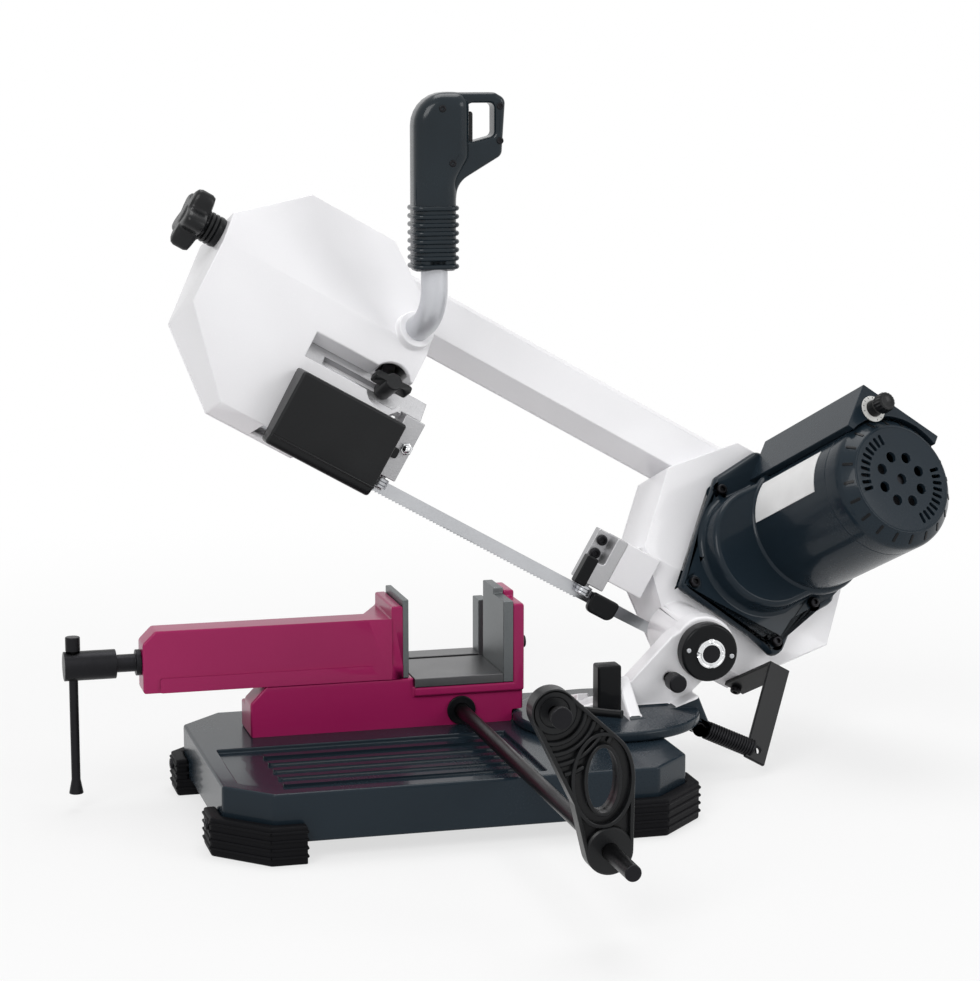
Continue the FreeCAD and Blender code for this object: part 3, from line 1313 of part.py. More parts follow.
def make_handle():
    foot = wheels_to_room.multVec(Vec(handle_corner.x, handle_corner.y, handle_boss_top))
    corner = handle_place
    rise = (corner - foot).normalize()
    turn = rise.getAngle(Z_AXIS)
    setback = tube_bend_r * math.tan(turn / 2)
    bend_start = corner - rise * setback
    bend_end = corner + Z_AXIS * setback
    inward = (Z_AXIS - rise).normalize()
    bend_middle = corner + inward * (tube_bend_r / math.cos(turn / 2) - tube_bend_r)
    path = Part.Wire([Part.LineSegment(foot, bend_start).toShape(),
                      Part.Arc(bend_start, bend_middle, bend_end).toShape(),
                      Part.LineSegment(bend_end, Vec(handle_x, handle_y, tube_top_z)).toShape()])

    def pipe(radius):
        circle = Part.Wire([Part.Circle(foot, rise, radius).toShape()])
        return path.makePipeShell([circle], True, False)

    keep("handle_tube", pipe(tube_r).cut(pipe(tube_r - tube_wall)))
    outline = [Vec(grip_left_x, 0, grip_bottom_z), Vec(grip_right_x, 0, grip_bottom_z),
               Vec(grip_right_x, 0, loop_bottom_z - grip_chin),
               Vec(grip_loop_right_x, 0, loop_bottom_z - grip_rim),
               Vec(grip_loop_right_x, 0, grip_top_z - grip_rim),
               Vec(loop_right_x, 0, grip_top_z), Vec(handle_x, 0, grip_top_z),
               Vec(grip_left_x, 0, grip_top_z - grip_crown)]
    half = grip_depth / 2
    trigger_back = loop_left_x - trigger_depth
    pocket_top = loop_top_z - grip_rim / 2
    pocket_low = loop_bottom_z + grip_rim / 4
    ribs = []
    for i in range(grip_rib_count):
        z = grip_bottom_z + grip_rib_pitch * (i + 1 / 2)
        ribs.append(box(grip_left_x - grip_rib_height, grip_right_x + grip_rib_height,
                        handle_y - half - grip_rib_height,
                        handle_y + half + grip_rib_height, z, z + grip_rib_width))
    whole = prism([Vec(p.x, handle_y - half, p.z) for p in outline], Y_AXIS * grip_depth)
    whole = fuse([whole] + ribs)
    whole = whole.cut(box(loop_left_x, loop_right_x, handle_y - grip_depth, handle_y + grip_depth,
                          loop_bottom_z, loop_top_z))
    whole = whole.cut(rod(tube_r, Vec(handle_x, handle_y, grip_bottom_z - overrun), Z_AXIS,
                          tube_top_z - grip_bottom_z + overrun))
    whole = whole.cut(box(trigger_back - trigger_travel - seat_gap, loop_left_x + overrun,
                          handle_y - trigger_width / 2 - slide_gap,
                          handle_y + trigger_width / 2 + slide_gap, pocket_low - slide_gap,
                          pocket_top + slide_gap))
    places = [(grip_loop_right_x - grip_rim / 2, loop_bottom_z),
              (grip_loop_right_x - grip_rim / 2, loop_top_z),
              (handle_x, (tube_top_z + grip_top_z) / 2),
              (grip_right_x + handle_screw_head_r, loop_bottom_z - grip_rim)]
    screws = []
    for x, z in places:
        shank = rod(handle_screw_r, Vec(x, handle_y - half, z), Y_AXIS, grip_depth * 3 / 4)
        head = rod(handle_screw_head_r, Vec(x, handle_y - half, z), Y_AXIS, handle_screw_r)
        screws.append(fuse([shank, head]))
        whole = whole.cut(screws[-1])
    front = box(grip_left_x - grip_depth, grip_loop_right_x + grip_depth, handle_y - grip_depth,
                handle_y, grip_bottom_z - grip_depth,
                grip_top_z + grip_depth)
    keep("grip_front_shell", whole.common(front))
    keep("grip_back_shell", whole.cut(front))
    keep("grip_screws", group(screws))
    lip = box(trigger_back, loop_left_x + trigger_travel, handle_y - trigger_width / 2,
              handle_y + trigger_width / 2, pocket_low, pocket_top)
    keep("trigger", lip)


def arc_point(start, heading, end):
    """Middle of the arc that leaves start along heading and ends at end."""
    chord = end - start
    along = Vec(chord).normalize()
    lean = heading.getAngle(chord)
    side = heading - along * heading.dot(along)
    return (start + end) * (1 / 2) + side.normalize() * (chord.Length / 2 * math.tan(lean / 2))


def biarc(start, heading, end, final):
    """Two tangent arcs between two points with given headings."""
    chord = end - start
    total = heading + final
    turn = 2 * (1 - heading.dot(final))
    reach = (-chord.dot(total) + math.sqrt(chord.dot(total) ** 2 + turn * chord.dot(chord))) / turn
    joint = (start + heading * reach + end - final * reach) * (1 / 2)
    back = final * -1
    return [Part.Arc(start, arc_point(start, heading, joint), joint).toShape(),
            Part.Arc(joint, arc_point(end, back, joint), end).toShape()]


def make_spring():
    """Extension spring from the arm's tail to the bow's bracket, one wire with a hook at each end."""
    tail = Vec(tail_x, spring_y, tail_z)
    bracket_end = Vec(spring_end_x, spring_y, spring_end_z)
    along = (bracket_end - tail).normalize()
    side = Vec(Y_AXIS)
    up = side.cross(along)
    coil_length = spring_turns * spring_pitch
    middle = (tail + bracket_end) * (1 / 2)
    bend = spring_coil_r / 2

    def at(turn):
        """Point and heading on the coil after some turns."""
        climb = coil_length * (turn / spring_turns - 1 / 2)
        angle = 2 * math.pi * turn
        out = (up * math.cos(angle) + side * math.sin(angle)) * spring_coil_r
        place = middle + along * climb + out
        inner = 0 < turn < spring_turns
        slope = coil_length / spring_turns / (2 * math.pi * spring_coil_r) if inner else 0
        heading = side * math.cos(angle) - up * math.sin(angle) + along * slope
        return place, heading.normalize()

    quarter = 1 / 4
    steps = int(spring_turns / quarter)
    edges = []
    for i in range(steps):
        start, heading = at(i * quarter)
        end, final = at((i + 1) * quarter)
        edges += biarc(start, heading, end, final)
    first, first_heading = at(0)
    last, last_heading = at(spring_turns)
    shank = 2 * spring_wire_r

    def hook(point, heading, outward, target):
        """Straight for one wire, a bend to run out along the spring, then a straight leg to the eye."""
        straight_end = point + heading * shank
        turn_end = straight_end + heading * bend + outward * bend
        leg_end = turn_end + outward * ((target - turn_end).dot(outward) - bend)
        eye_way = (target - leg_end)
        eye_way = (eye_way - outward * eye_way.dot(outward))
        eye_side = Vec(eye_way).normalize()
        eye_end = leg_end + outward * bend + eye_side * bend
        return [Part.LineSegment(point, straight_end).toShape(),
                Part.Arc(straight_end, arc_point(straight_end, heading, turn_end), turn_end).toShape(),
                Part.LineSegment(turn_end, leg_end).toShape(),
                Part.Arc(leg_end, arc_point(leg_end, outward, eye_end), eye_end).toShape(),
                Part.LineSegment(eye_end, eye_end + eye_side * shank).toShape()]

    start_hook = hook(first, first_heading * -1, along * -1, tail)
    end_hook = hook(last, last_heading, along, bracket_end)
    path = Part.Wire(Part.__sortEdges__(start_hook + edges + end_hook))
    open_end = start_hook[-1].Vertexes[-1].Point
    before = start_hook[-1].Vertexes[0].Point
    circle = Part.Wire([Part.Circle(open_end, before - open_end, spring_wire_r).toShape()])
    spring = path.makePipeShell([circle], True, False)
    keep("return_spring", spring)
    samples = [at(i / spring_samples)[0] for i in range(spring_turns * spring_samples + 1)]
    least = min((samples[i] - samples[j]).Length for i in range(len(samples))
                for j in range(i + spring_samples // 2, len(samples)))
    print("spring: least gap between curls", round(least - 2 * spring_wire_r, 3), "mm; wire length",
          round(path.Length, 1),
          "mm; volume over section x length",
          round(spring.Volume / (math.pi * spring_wire_r ** 2 * path.Length), 4))
    place = to_wheels.multVec(bracket_end)
    low_u = place.x - bracket_width / 2
    seat = box(low_u, low_u + bracket_width, -casing_half - bracket_thickness, -casing_half,
               -casing_back / 2,
               place.z + bracket_thickness / 2)
    leaf = box(low_u, low_u + bracket_width, place.y - bracket_width / 2, -casing_half,
               place.z - bracket_thickness / 2,
               place.z + bracket_thickness / 2)
    hole = rod(bracket_hole_r, Vec(place.x, place.y, place.z - bracket_width), Z_AXIS,
               2 * bracket_width)
    bracket = fuse([seat, leaf]).cut(hole)
    bracket = bracket.cut(rod(guide_screw_r, Vec(place.x, -casing_half - 2 * bracket_thickness,
                                                 bracket_screw_n), Y_AXIS, 3 * bracket_thickness))
    keep("spring_bracket", in_wheels(bracket))


make_base()
make_feet()
make_vise_bed()
make_table()
make_moving_jaw()
make_vise_screw()
make_length_stop()
make_arm()
make_bow_casting()
make_rear_cover()
make_wheels()
make_tension_knob()
make_drive()
make_control_box()
make_guides()
make_guard()
make_blade()
make_handle()
make_spring()

os.makedirs("parts", exist_ok=True)
for name, shape in nodes.items():
    shape.exportStep("parts/" + name + ".step")
    bounds = shape.BoundBox
    print(name, len(shape.Solids), "solids", shape.isValid(),
          round(sum(s.Volume for s in shape.Solids) / 1000, 2), "cm3",
          [round(v) for v in (bounds.XMin, bounds.XMax, bounds.YMin, bounds.YMax, bounds.ZMin,
                              bounds.ZMax)])
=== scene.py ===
# %% [markdown]
# # A bench band saw for metal, dressed for its photograph
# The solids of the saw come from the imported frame: every piece is already in metres, in its place, and rides on
# the body that moves it. This lesson gives the pieces their cast edges, their finishes and the small forms that
# a plain solid lacks, and then sets the camera and the light. A cell does one thing, and prints what it made.

# %% The frame
import json
import math
import bmesh
import bpy
from mathutils import Matrix, Vector
from mathutils.bvhtree import BVHTree
from mathutils.geometry import convex_hull_2d

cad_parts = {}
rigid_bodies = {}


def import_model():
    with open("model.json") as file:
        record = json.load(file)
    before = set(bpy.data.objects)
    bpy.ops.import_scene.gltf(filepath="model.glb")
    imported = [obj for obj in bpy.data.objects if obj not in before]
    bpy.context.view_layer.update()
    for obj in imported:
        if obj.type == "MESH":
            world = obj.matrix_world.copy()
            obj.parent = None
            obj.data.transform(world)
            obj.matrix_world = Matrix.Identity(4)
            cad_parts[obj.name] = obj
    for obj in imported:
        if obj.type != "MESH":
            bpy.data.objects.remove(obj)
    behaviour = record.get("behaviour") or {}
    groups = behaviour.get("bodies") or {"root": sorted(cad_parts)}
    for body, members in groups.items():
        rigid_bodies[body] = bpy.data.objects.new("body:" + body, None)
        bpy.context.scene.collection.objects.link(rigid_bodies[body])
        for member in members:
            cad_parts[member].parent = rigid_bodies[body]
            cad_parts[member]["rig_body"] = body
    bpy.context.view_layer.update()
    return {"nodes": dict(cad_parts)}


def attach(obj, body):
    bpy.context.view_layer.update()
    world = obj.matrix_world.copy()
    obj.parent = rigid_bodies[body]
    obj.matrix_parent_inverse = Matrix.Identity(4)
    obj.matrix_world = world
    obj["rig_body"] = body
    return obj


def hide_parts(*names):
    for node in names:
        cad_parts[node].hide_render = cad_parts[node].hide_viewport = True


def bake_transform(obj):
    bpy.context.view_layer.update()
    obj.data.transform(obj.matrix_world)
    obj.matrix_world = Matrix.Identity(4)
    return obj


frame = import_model()
nodes = frame["nodes"]

# %% [markdown]
# ## The saw's own frames
# The bow leans back on its pivot, its wheels lie in a plane that leans again, and the motor sits at an angle in
# that plane. Placing a detail by hand in the room's frame would need awkward numbers. A matrix for each of these
# frames lets a detail be written in plain millimetres, as on a drawing of the bow.

# %% Frames of the bow, the wheels and the motor
MM = Matrix.Scale(0.001, 4)
PIVOT_X, PIVOT_Z = 288, 127
BOW_RAISED, WHEELS_LEAN = 29.6, 60
BAND_Y, BAND_Z, BAND_TO_WHEELS = 130, -11, 108.25
BAND_LOOP, BAND_R = 1735, 107.95
DRIVE_U, ROW_TURN, MOTOR_STEP, CONTROL_TURN = 45, 48, 60, -53.5


def turn(degrees, axis):
    return Matrix.Rotation(math.radians(degrees), 4, axis)


def shift(x, y, z):
    return Matrix.Translation((x, y, z))


lean = math.radians(WHEELS_LEAN)
IN_ROOM = MM
IN_BOW = MM @ shift(PIVOT_X, 0, PIVOT_Z) @ turn(BOW_RAISED, "Y")
IN_WHEELS = IN_BOW @ shift(0, BAND_Y + BAND_TO_WHEELS * math.cos(lean),
                           BAND_TO_WHEELS * math.sin(lean) + BAND_Z) @ turn(WHEELS_LEAN, "X")
ON_MOTOR = IN_WHEELS @ shift(DRIVE_U, 0, 0) @ turn(ROW_TURN, "Z") @ shift(MOTOR_STEP, 0, 0)
ON_CONTROL = ON_MOTOR @ turn(CONTROL_TURN, "Z")
IDLE_U = DRIVE_U - (BAND_LOOP - 2 * math.pi * BAND_R) / 2
print("idle wheel at", [round(v, 3) for v in (IN_WHEELS @ Vector((IDLE_U, 0, 0)))])

# %% [markdown]
# ## Camera
# The photograph was taken from a little to the left and a little above, from far away with a long lens: the base's
# front edge is almost level, and its sides hardly converge. The place was worked out from the corners of the base
# and the table. A long lens on a plain camera gives that view without any shift.

# %% Camera at the photograph's angle
FILM_WIDTH, PICTURE_WIDTH, FOCAL_PIXELS, FARTHEST = 36, 980, 2700, 60
CAMERA_PLACE, CAMERA_WAY = (-0.5948, -2.4439, 0.7247), Vector((0.2553, 0.9527, -0.1650))


def linked(name, data):
    """A new object that shows the data in the scene."""
    made = bpy.data.objects.new(name, data)
    bpy.context.scene.collection.objects.link(made)
    return made


def looking(place, way):
    """The matrix of a camera or a lamp at a place, pointed along a way."""
    return Matrix.Translation(place) @ way.to_track_quat("-Z", "Y").to_matrix().to_4x4()


lens = bpy.data.cameras.new("photo_camera")
lens.sensor_fit = "HORIZONTAL"
lens.sensor_width = FILM_WIDTH
lens.lens = FOCAL_PIXELS * FILM_WIDTH / PICTURE_WIDTH
lens.clip_end = FARTHEST
camera = linked("photo_camera", lens)
camera.matrix_world = looking(CAMERA_PLACE, CAMERA_WAY)
bpy.context.scene.camera = camera
print("lens", round(lens.lens, 1), "mm")

# %% [markdown]
# ## One way to write nodes
# A finish is a sum of small patterns, so it reads best as a sum. Wire wraps a socket and gives it the operators of
# arithmetic that are used here, with the reflected forms, so that 1 - mask works. Graph has one method that makes
# any other node from its type, its settings and its sockets, and it serves shader trees and geometry trees alike.

# %% Wire and Graph
class Wire:
    def __init__(self, graph, socket):
        self.graph = graph
        self.socket = socket

    def maths(self, operation, first, second):
        return self.graph.node("ShaderNodeMath", {"operation": operation}, {0: first, 1: second})

    def __add__(self, other):
        return self.maths("ADD", self, other)

    def __sub__(self, other):
        return self.maths("SUBTRACT", self, other)

    def __rsub__(self, other):
        return self.maths("SUBTRACT", other, self)

    def __mul__(self, other):
        return self.maths("MULTIPLY", self, other)

    def __gt__(self, other):
        return self.maths("GREATER_THAN", self, other)

    __radd__ = __add__
    __rmul__ = __mul__


class Graph:
    def __init__(self, tree):
        self.tree = tree

    def node(self, kind, settings=None, sockets=None, out=0):
        made = self.tree.nodes.new(kind)
        for name, value in (settings or {}).items():
            setattr(made, name, value)
        for name, value in (sockets or {}).items():
            if isinstance(value, Wire):
                self.tree.links.new(value.socket, made.inputs[name])
            else:
                made.inputs[name].default_value = value
        return Wire(self, made.outputs[out])


print("a wire adds, takes away, multiplies and compares")

# %% [markdown]
# ## Finishes
# Each finish starts from Object coordinates, so that a pattern keeps its real size on every piece. A class with a
# few named patterns keeps the recipes short: a noise, a mix of two colours, and a bump that reads a height in
# metres. A noise swings about one half, so a pattern is used as its distance from that mean. A Mix node has sockets
# for several kinds of data, and those for colours are named by number here. Only colour, roughness, coat and normal
# are fed by patterns, and every constant sits on the shader's own socket.

# %% A finish and its patterns
MIX_SHARE, MIX_FIRST, MIX_SECOND, MIXED = 0, 6, 7, 2


class Finish(Graph):
    def __init__(self, name, **constants):
        self.material = bpy.data.materials.new(name)
        self.material.use_nodes = True
        super().__init__(self.material.node_tree)
        self.shader = self.tree.nodes["Principled BSDF"]
        self.place = self.node("ShaderNodeTexCoord", out="Object")
        for socket, value in constants.items():
            self.shader.inputs[socket.replace("_", " ")].default_value = value

    def noise(self, scale, detail=2.0, stretch=None):
        at = self.place
        if stretch:
            at = self.node("ShaderNodeMapping", {}, {"Vector": at, "Scale": stretch})
        return self.node("ShaderNodeTexNoise", {}, {"Vector": at, "Scale": scale, "Detail": detail})

    def mix(self, share, first, second):
        return self.node("ShaderNodeMix", {"data_type": "RGBA"},
                         {MIX_SHARE: share, MIX_FIRST: first, MIX_SECOND: second}, out=MIXED)

    def feed(self, **sockets):
        for name, wire in sockets.items():
            self.tree.links.new(wire.socket, self.shader.inputs[name.replace("_", " ")])
        return self

    def bump(self, height, distance):
        made = self.node("ShaderNodeBump", {}, {"Strength": 1.0, "Distance": distance, "Height": height})
        return self.feed(Normal=made)


def shade(colour, factor):
    return tuple(min(1, c * factor) for c in colour) + (1,)


MEAN = 0.5
print("patterns ready")

# %% [markdown]
# ### Enamel
# The castings are sprayed with gloss enamel. Up close such a coat has a faint ripple, like the skin of an orange,
# and over a hand's width it is a little thicker here and thinner there. A clear coat on the shader gives the sharp
# reflection, and the ripple below it breaks up the broad one. A few paler specks stand for settled dust.

# %% Enamels: white, anthracite, burgundy, silver and satin black
DRIFT_SCALE, SKIN_SCALE, DUST_SCALE = 7, 430, 1700
THIN, THICK, DUSTY = 0.93, 1.06, 1.35
DUST_FROM, DUST_SHARE = 0.69, 0.35
ROUGH_DRIFT, ROUGH_SKIN, COAT_DRIFT = 0.12, 0.05, 0.1
RIPPLE = 0.00006


def enamel(name, colour, rough, coat, gloss=0.5, metal=0.0):
    f = Finish(name, Metallic=metal, Coat_Roughness=0.06, Specular_IOR_Level=gloss)
    drift = f.noise(DRIFT_SCALE, 3)
    skin = f.noise(SKIN_SCALE, 2)
    dust = f.noise(DUST_SCALE, 1)
    tone = f.mix(drift, shade(colour, THIN), shade(colour, THICK))
    tone = f.mix((dust > DUST_FROM) * DUST_SHARE, tone, shade(colour, DUSTY))
    f.feed(Base_Color=tone, Roughness=rough + (drift - MEAN) * ROUGH_DRIFT + (skin - MEAN) * ROUGH_SKIN,
           Coat_Weight=coat + (drift - MEAN) * COAT_DRIFT)
    return f.bump(skin + drift * 2, RIPPLE)


WHITE = enamel("white_enamel", (0.845, 0.84, 0.86), 0.34, 0.35)
ANTHRACITE = enamel("anthracite_enamel", (0.0115, 0.0195, 0.0275), 0.26, 0.18, 0.08)
BURGUNDY = enamel("burgundy_enamel", (0.32, 0.0115, 0.092), 0.32, 0.2, 0.15)
SILVER = enamel("silver_enamel", (0.56, 0.57, 0.60), 0.36, 0.3, metal=0.35)
BLACK = enamel("satin_black", (0.0055, 0.006, 0.007), 0.34, 0.12, 0.08)
print("enamels:", [f.material.name for f in (WHITE, ANTHRACITE, BURGUNDY, SILVER, BLACK)])

# %% [markdown]
# ### Bare metal
# Ground, turned and blackened steel differ in the direction and depth of their marks. A noise that is stretched
# along one axis gives grinding and milling lines, and a coarse mottling gives the bloom of black oxide. One recipe
# serves all of them, because only its grain, its stretch and its depth change.

# %% Steel, black oxide, chrome, cast aluminium and brass
CLOUD_SCALE, DARK_MARK, LIGHT_MARK = 26, 0.78, 1.18
EVEN_SHARE, ROUGH_LINES = 0.5, 0.16


def metal(name, colour, rough, grain, stretch, depth, mottle=0.1):
    f = Finish(name, Metallic=1.0)
    lines = f.noise(grain, 3, stretch)
    cloud = f.noise(CLOUD_SCALE, 4)
    f.feed(Base_Color=f.mix(lines * EVEN_SHARE + cloud * EVEN_SHARE, shade(colour, DARK_MARK),
                            shade(colour, LIGHT_MARK)),
           Roughness=rough + (cloud - MEAN) * mottle + (lines - MEAN) * ROUGH_LINES)
    return f.bump(lines, depth)


GROUND = metal("ground_steel", (0.50, 0.51, 0.53), 0.30, 260, (1, 14, 1), 0.00004)
TABLE = metal("milled_table", (0.12, 0.12, 0.124), 0.36, 180, (22, 1.2, 1), 0.00008)
JAW = metal("jaw_steel", (0.15, 0.16, 0.165), 0.44, 700, (1, 1, 1), 0.00010)
BAND = metal("band_steel", (0.55, 0.56, 0.58), 0.32, 420, (1.0, 1.0, 9.0), 0.00002)
OXIDE = metal("black_oxide", (0.020, 0.020, 0.022), 0.40, 520, (1, 1, 1), 0.00006, 0.25)
CHROME = metal("chrome", (0.78, 0.79, 0.80), 0.10, 240, (1, 1, 5), 0.00001, 0.06)
CASTING = metal("cast_aluminium", (0.44, 0.44, 0.45), 0.46, 620, (1, 1, 1), 0.00022)
BRASS = metal("brass", (0.70, 0.48, 0.19), 0.30, 300, (1, 6, 1), 0.00003)
print("metals ready")

# %% [markdown]
# ### Rubber and moulded plastic
# The feet are soft black rubber, which scatters light and gathers dust. Knobs and the guard are moulded with a fine
# spark-eroded grain, and the grip is a glossier moulding in the colour of the base. A cell pattern for the grain
# and a noise for the bloom tell them apart.

# %% Rubber, grained plastic, grip plastic, the dial's ring and the motor's plate
BLOOM_SCALE, FRESH, FADED, GRAIN_SOFTNESS = 13, 0.75, 1.35, 0.6
ROUGH_BLOOM, ROUGH_GRAIN, COAT_BLOOM = 0.18, 0.06, 0.1


def moulded(name, colour, rough, grain, depth, coat=0.0, gloss=0.2):
    f = Finish(name, Coat_Roughness=0.12, Specular_IOR_Level=gloss)
    cells = f.node("ShaderNodeTexVoronoi", {"feature": "SMOOTH_F1"},
                   {"Vector": f.place, "Scale": grain, "Smoothness": GRAIN_SOFTNESS})
    bloom = f.noise(BLOOM_SCALE, 4)
    f.feed(Base_Color=f.mix(bloom, shade(colour, FRESH), shade(colour, FADED)),
           Roughness=rough + (bloom - MEAN) * ROUGH_BLOOM + cells * ROUGH_GRAIN,
           Coat_Weight=coat + (bloom - MEAN) * COAT_BLOOM)
    return f.bump(cells, depth)


RUBBER = moulded("foot_rubber", (0.0055, 0.0055, 0.0065), 0.50, 900, 0.00012, gloss=0.06)
MOULDED = moulded("moulded_black", (0.0055, 0.006, 0.0068), 0.34, 1100, 0.00006, 0.1)
GRIP = moulded("grip_moulding", (0.0065, 0.0125, 0.0175), 0.22, 1500, 0.00002, 0.3, 0.14)
DIAL = moulded("dial_ring_pale", (0.62, 0.62, 0.60), 0.45, 1200, 0.00002, gloss=0.5)
PLATE = moulded("blank_plate_white", (0.80, 0.80, 0.79), 0.42, 800, 0.00001, 0.15, 0.5)
print("mouldings ready")

# %% [markdown]
# ## Cast edges
# A solid's edge is perfectly sharp, and a casting's edge never is: it is rounded by the pattern and softened by the
# paint, and that line of light is most of what the eye reads as cast metal. Each visible piece is therefore a copy
# of its solid: the loose triangles are merged, flat areas are joined, and the edges are beveled in passes, the
# wide radius first where there is room for it, and a narrower one on what is left. There is room where the edges that
# leave a corner sideways are clearly longer than the bevel is wide. A pass whose result still strays from the solid's
# surface is dropped, because a bevel without room folds over itself.

# %% Copy a solid and round its edges
MERGE, FLAT = 4e-6, math.radians(0.6)
ALONG, ROOM, STRAY = 0.82, 1.7, 1.6


def joined(node):
    bm = bmesh.new()
    bm.from_mesh(nodes[node].data)
    bmesh.ops.remove_doubles(bm, verts=bm.verts, dist=MERGE)
    bmesh.ops.dissolve_limit(bm, angle_limit=FLAT, verts=bm.verts, edges=bm.edges)
    return bm


def has_room(edge, width):
    """Whether the edges that leave its ends sideways are long enough for the bevel."""
    for vert in edge.verts:
        ahead = (edge.other_vert(vert).co - vert.co).normalized()
        for other in vert.link_edges:
            if other is edge:
                continue
            way = (other.other_vert(vert).co - vert.co).normalized()
            if abs(way.dot(ahead)) < ALONG and other.calc_length() < ROOM * width:
                return False
    return True


def beveled(bm, picks, width):
    trial = bm.copy()
    trial.edges.ensure_lookup_table()
    bmesh.ops.bevel(trial, geom=[trial.edges[i] for i in picks], offset=width, offset_type="OFFSET", segments=3,
                    profile=0.5, affect="EDGES", clamp_overlap=False, loop_slide=True)
    return trial


def stays_close(trial, old_surface, reach):
    """Whether every corner and triangle of the trial lies on, or just under, the old surface."""
    spots = [v.co for v in trial.verts]
    spots += [(a.vert.co + b.vert.co + c.vert.co) / 3 for a, b, c in trial.calc_loop_triangles()]
    return all(old_surface.find_nearest(spot)[3] <= reach for spot in spots)


def round_edges(bm, widths, sharp=33.0):
    for width in (0.001 * w for w in widths):
        bm.edges.index_update()
        old_surface = BVHTree.FromBMesh(bm)
        picks = [e.index for e in bm.edges if len(e.link_faces) == 2 and e.calc_length() > 0
                 and math.degrees(e.calc_face_angle(0)) > sharp and has_room(e, width)]
        trial = beveled(bm, picks, width)
        if stays_close(trial, old_surface, STRAY * width):
            bm.free()
            bm = trial
        else:
            print("   no bevel of", round(1000 * width, 2), "mm")
            trial.free()
    bmesh.ops.remove_doubles(bm, verts=bm.verts, dist=MERGE)
    return bm


print("edge rounding ready")

# %% [markdown]
# ### From a rough mesh to a piece
# A piece is handed over as a plain mesh at the origin, with one finish, on its body. Weighted normals keep the flat
# faces of a casting flat beside its rounded edges, and the modifier that makes them is evaluated away, so that
# nothing is left to compute when the piece moves.

# %% Finish a mesh and settle it on its body
SMOOTH_CAST = math.radians(42)


def mesh_of(name, bm):
    mesh = bpy.data.meshes.new(name)
    bm.to_mesh(mesh)
    bm.free()
    return mesh


def plain_copy(rough, name):
    """The evaluated mesh as a plain object of its own; the rough one goes."""
    deps = bpy.context.evaluated_depsgraph_get()
    mesh = bpy.data.meshes.new_from_object(rough.evaluated_get(deps), preserve_all_data_layers=True, depsgraph=deps)
    mesh.name = name
    bpy.data.objects.remove(rough)
    return linked(name, mesh)


def coloured(made, finish):
    made.data.materials.clear()
    made.data.materials.append(finish.material)
    made.data.polygons.foreach_set("material_index", [0] * len(made.data.polygons))


def settle(made, finish, body, stands_for=()):
    coloured(made, finish)
    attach(made, body)
    if stands_for:
        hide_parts(*stands_for)
    return made


def finished(name, bm, finish, body, stands_for=()):
    mesh = mesh_of(name, bm)
    mesh.shade_smooth()
    mesh.set_sharp_from_angle(angle=SMOOTH_CAST)
    rough = linked(name + "_rough", mesh)
    even = rough.modifiers.new("even_normals", "WEIGHTED_NORMAL")
    even.keep_sharp = True
    made = settle(plain_copy(rough, name), finish, body, stands_for)
    print(name, len(made.data.polygons), "faces")
    return made


def cast(node, widths, finish, sharp=33.0):
    bm = round_edges(joined(node), widths, sharp)
    return finished(node + "_cast", bm, finish, nodes[node]["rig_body"], (node,))


print("pieces can be settled")

# %% [markdown]
# ### The castings
# Base, vise, arm and bow are iron and aluminium castings under enamel. Their radii are one and a half to three
# millimetres, and the tray's ribs take the narrow pass. The bow's faces meet at shallow angles, so its ridges are
# rounded too: otherwise the smooth shading would bend the light across two flat faces. The rear cover is a thin
# sheet with a broken edge. The arm's foot below the turntable's top is painted as the base is.

# %% Base, vise, arm and bow
TURNTABLE_TOP = 0.0746
for node, widths, finish, slot, sharp in (
        ("base_casting", (3.0, 1.6), ANTHRACITE, "anthracite_paint", 14),
        ("vise_bed", (2.2,), BURGUNDY, "burgundy_paint", 20),
        ("moving_jaw", (2.2,), BURGUNDY, "burgundy_paint", 20),
        ("swivel_arm", (3.0, 1.0), WHITE, "white_paint", 20),
        ("bow_casting", (1.4,), WHITE, "white_paint", 12),
        ("rear_cover", (0.5,), WHITE, "white_paint", 33)):
    cast(node, widths, finish, sharp)
arm = bpy.data.objects["swivel_arm_cast"].data
arm.materials.append(ANTHRACITE.material)
for face in arm.polygons:
    face.material_index = int(face.center.z < TURNTABLE_TOP)

# %% [markdown]
# ### The smaller pieces
# Turned and milled pieces get a narrow chamfer, as a lathe or a mill leaves it. The gear case, the guard and the
# other mouldings have wider radii, so that they come out of their moulds. A table of widths and finishes serves them
# all. The clamp's lever is too slim for a bevel and keeps its edges.

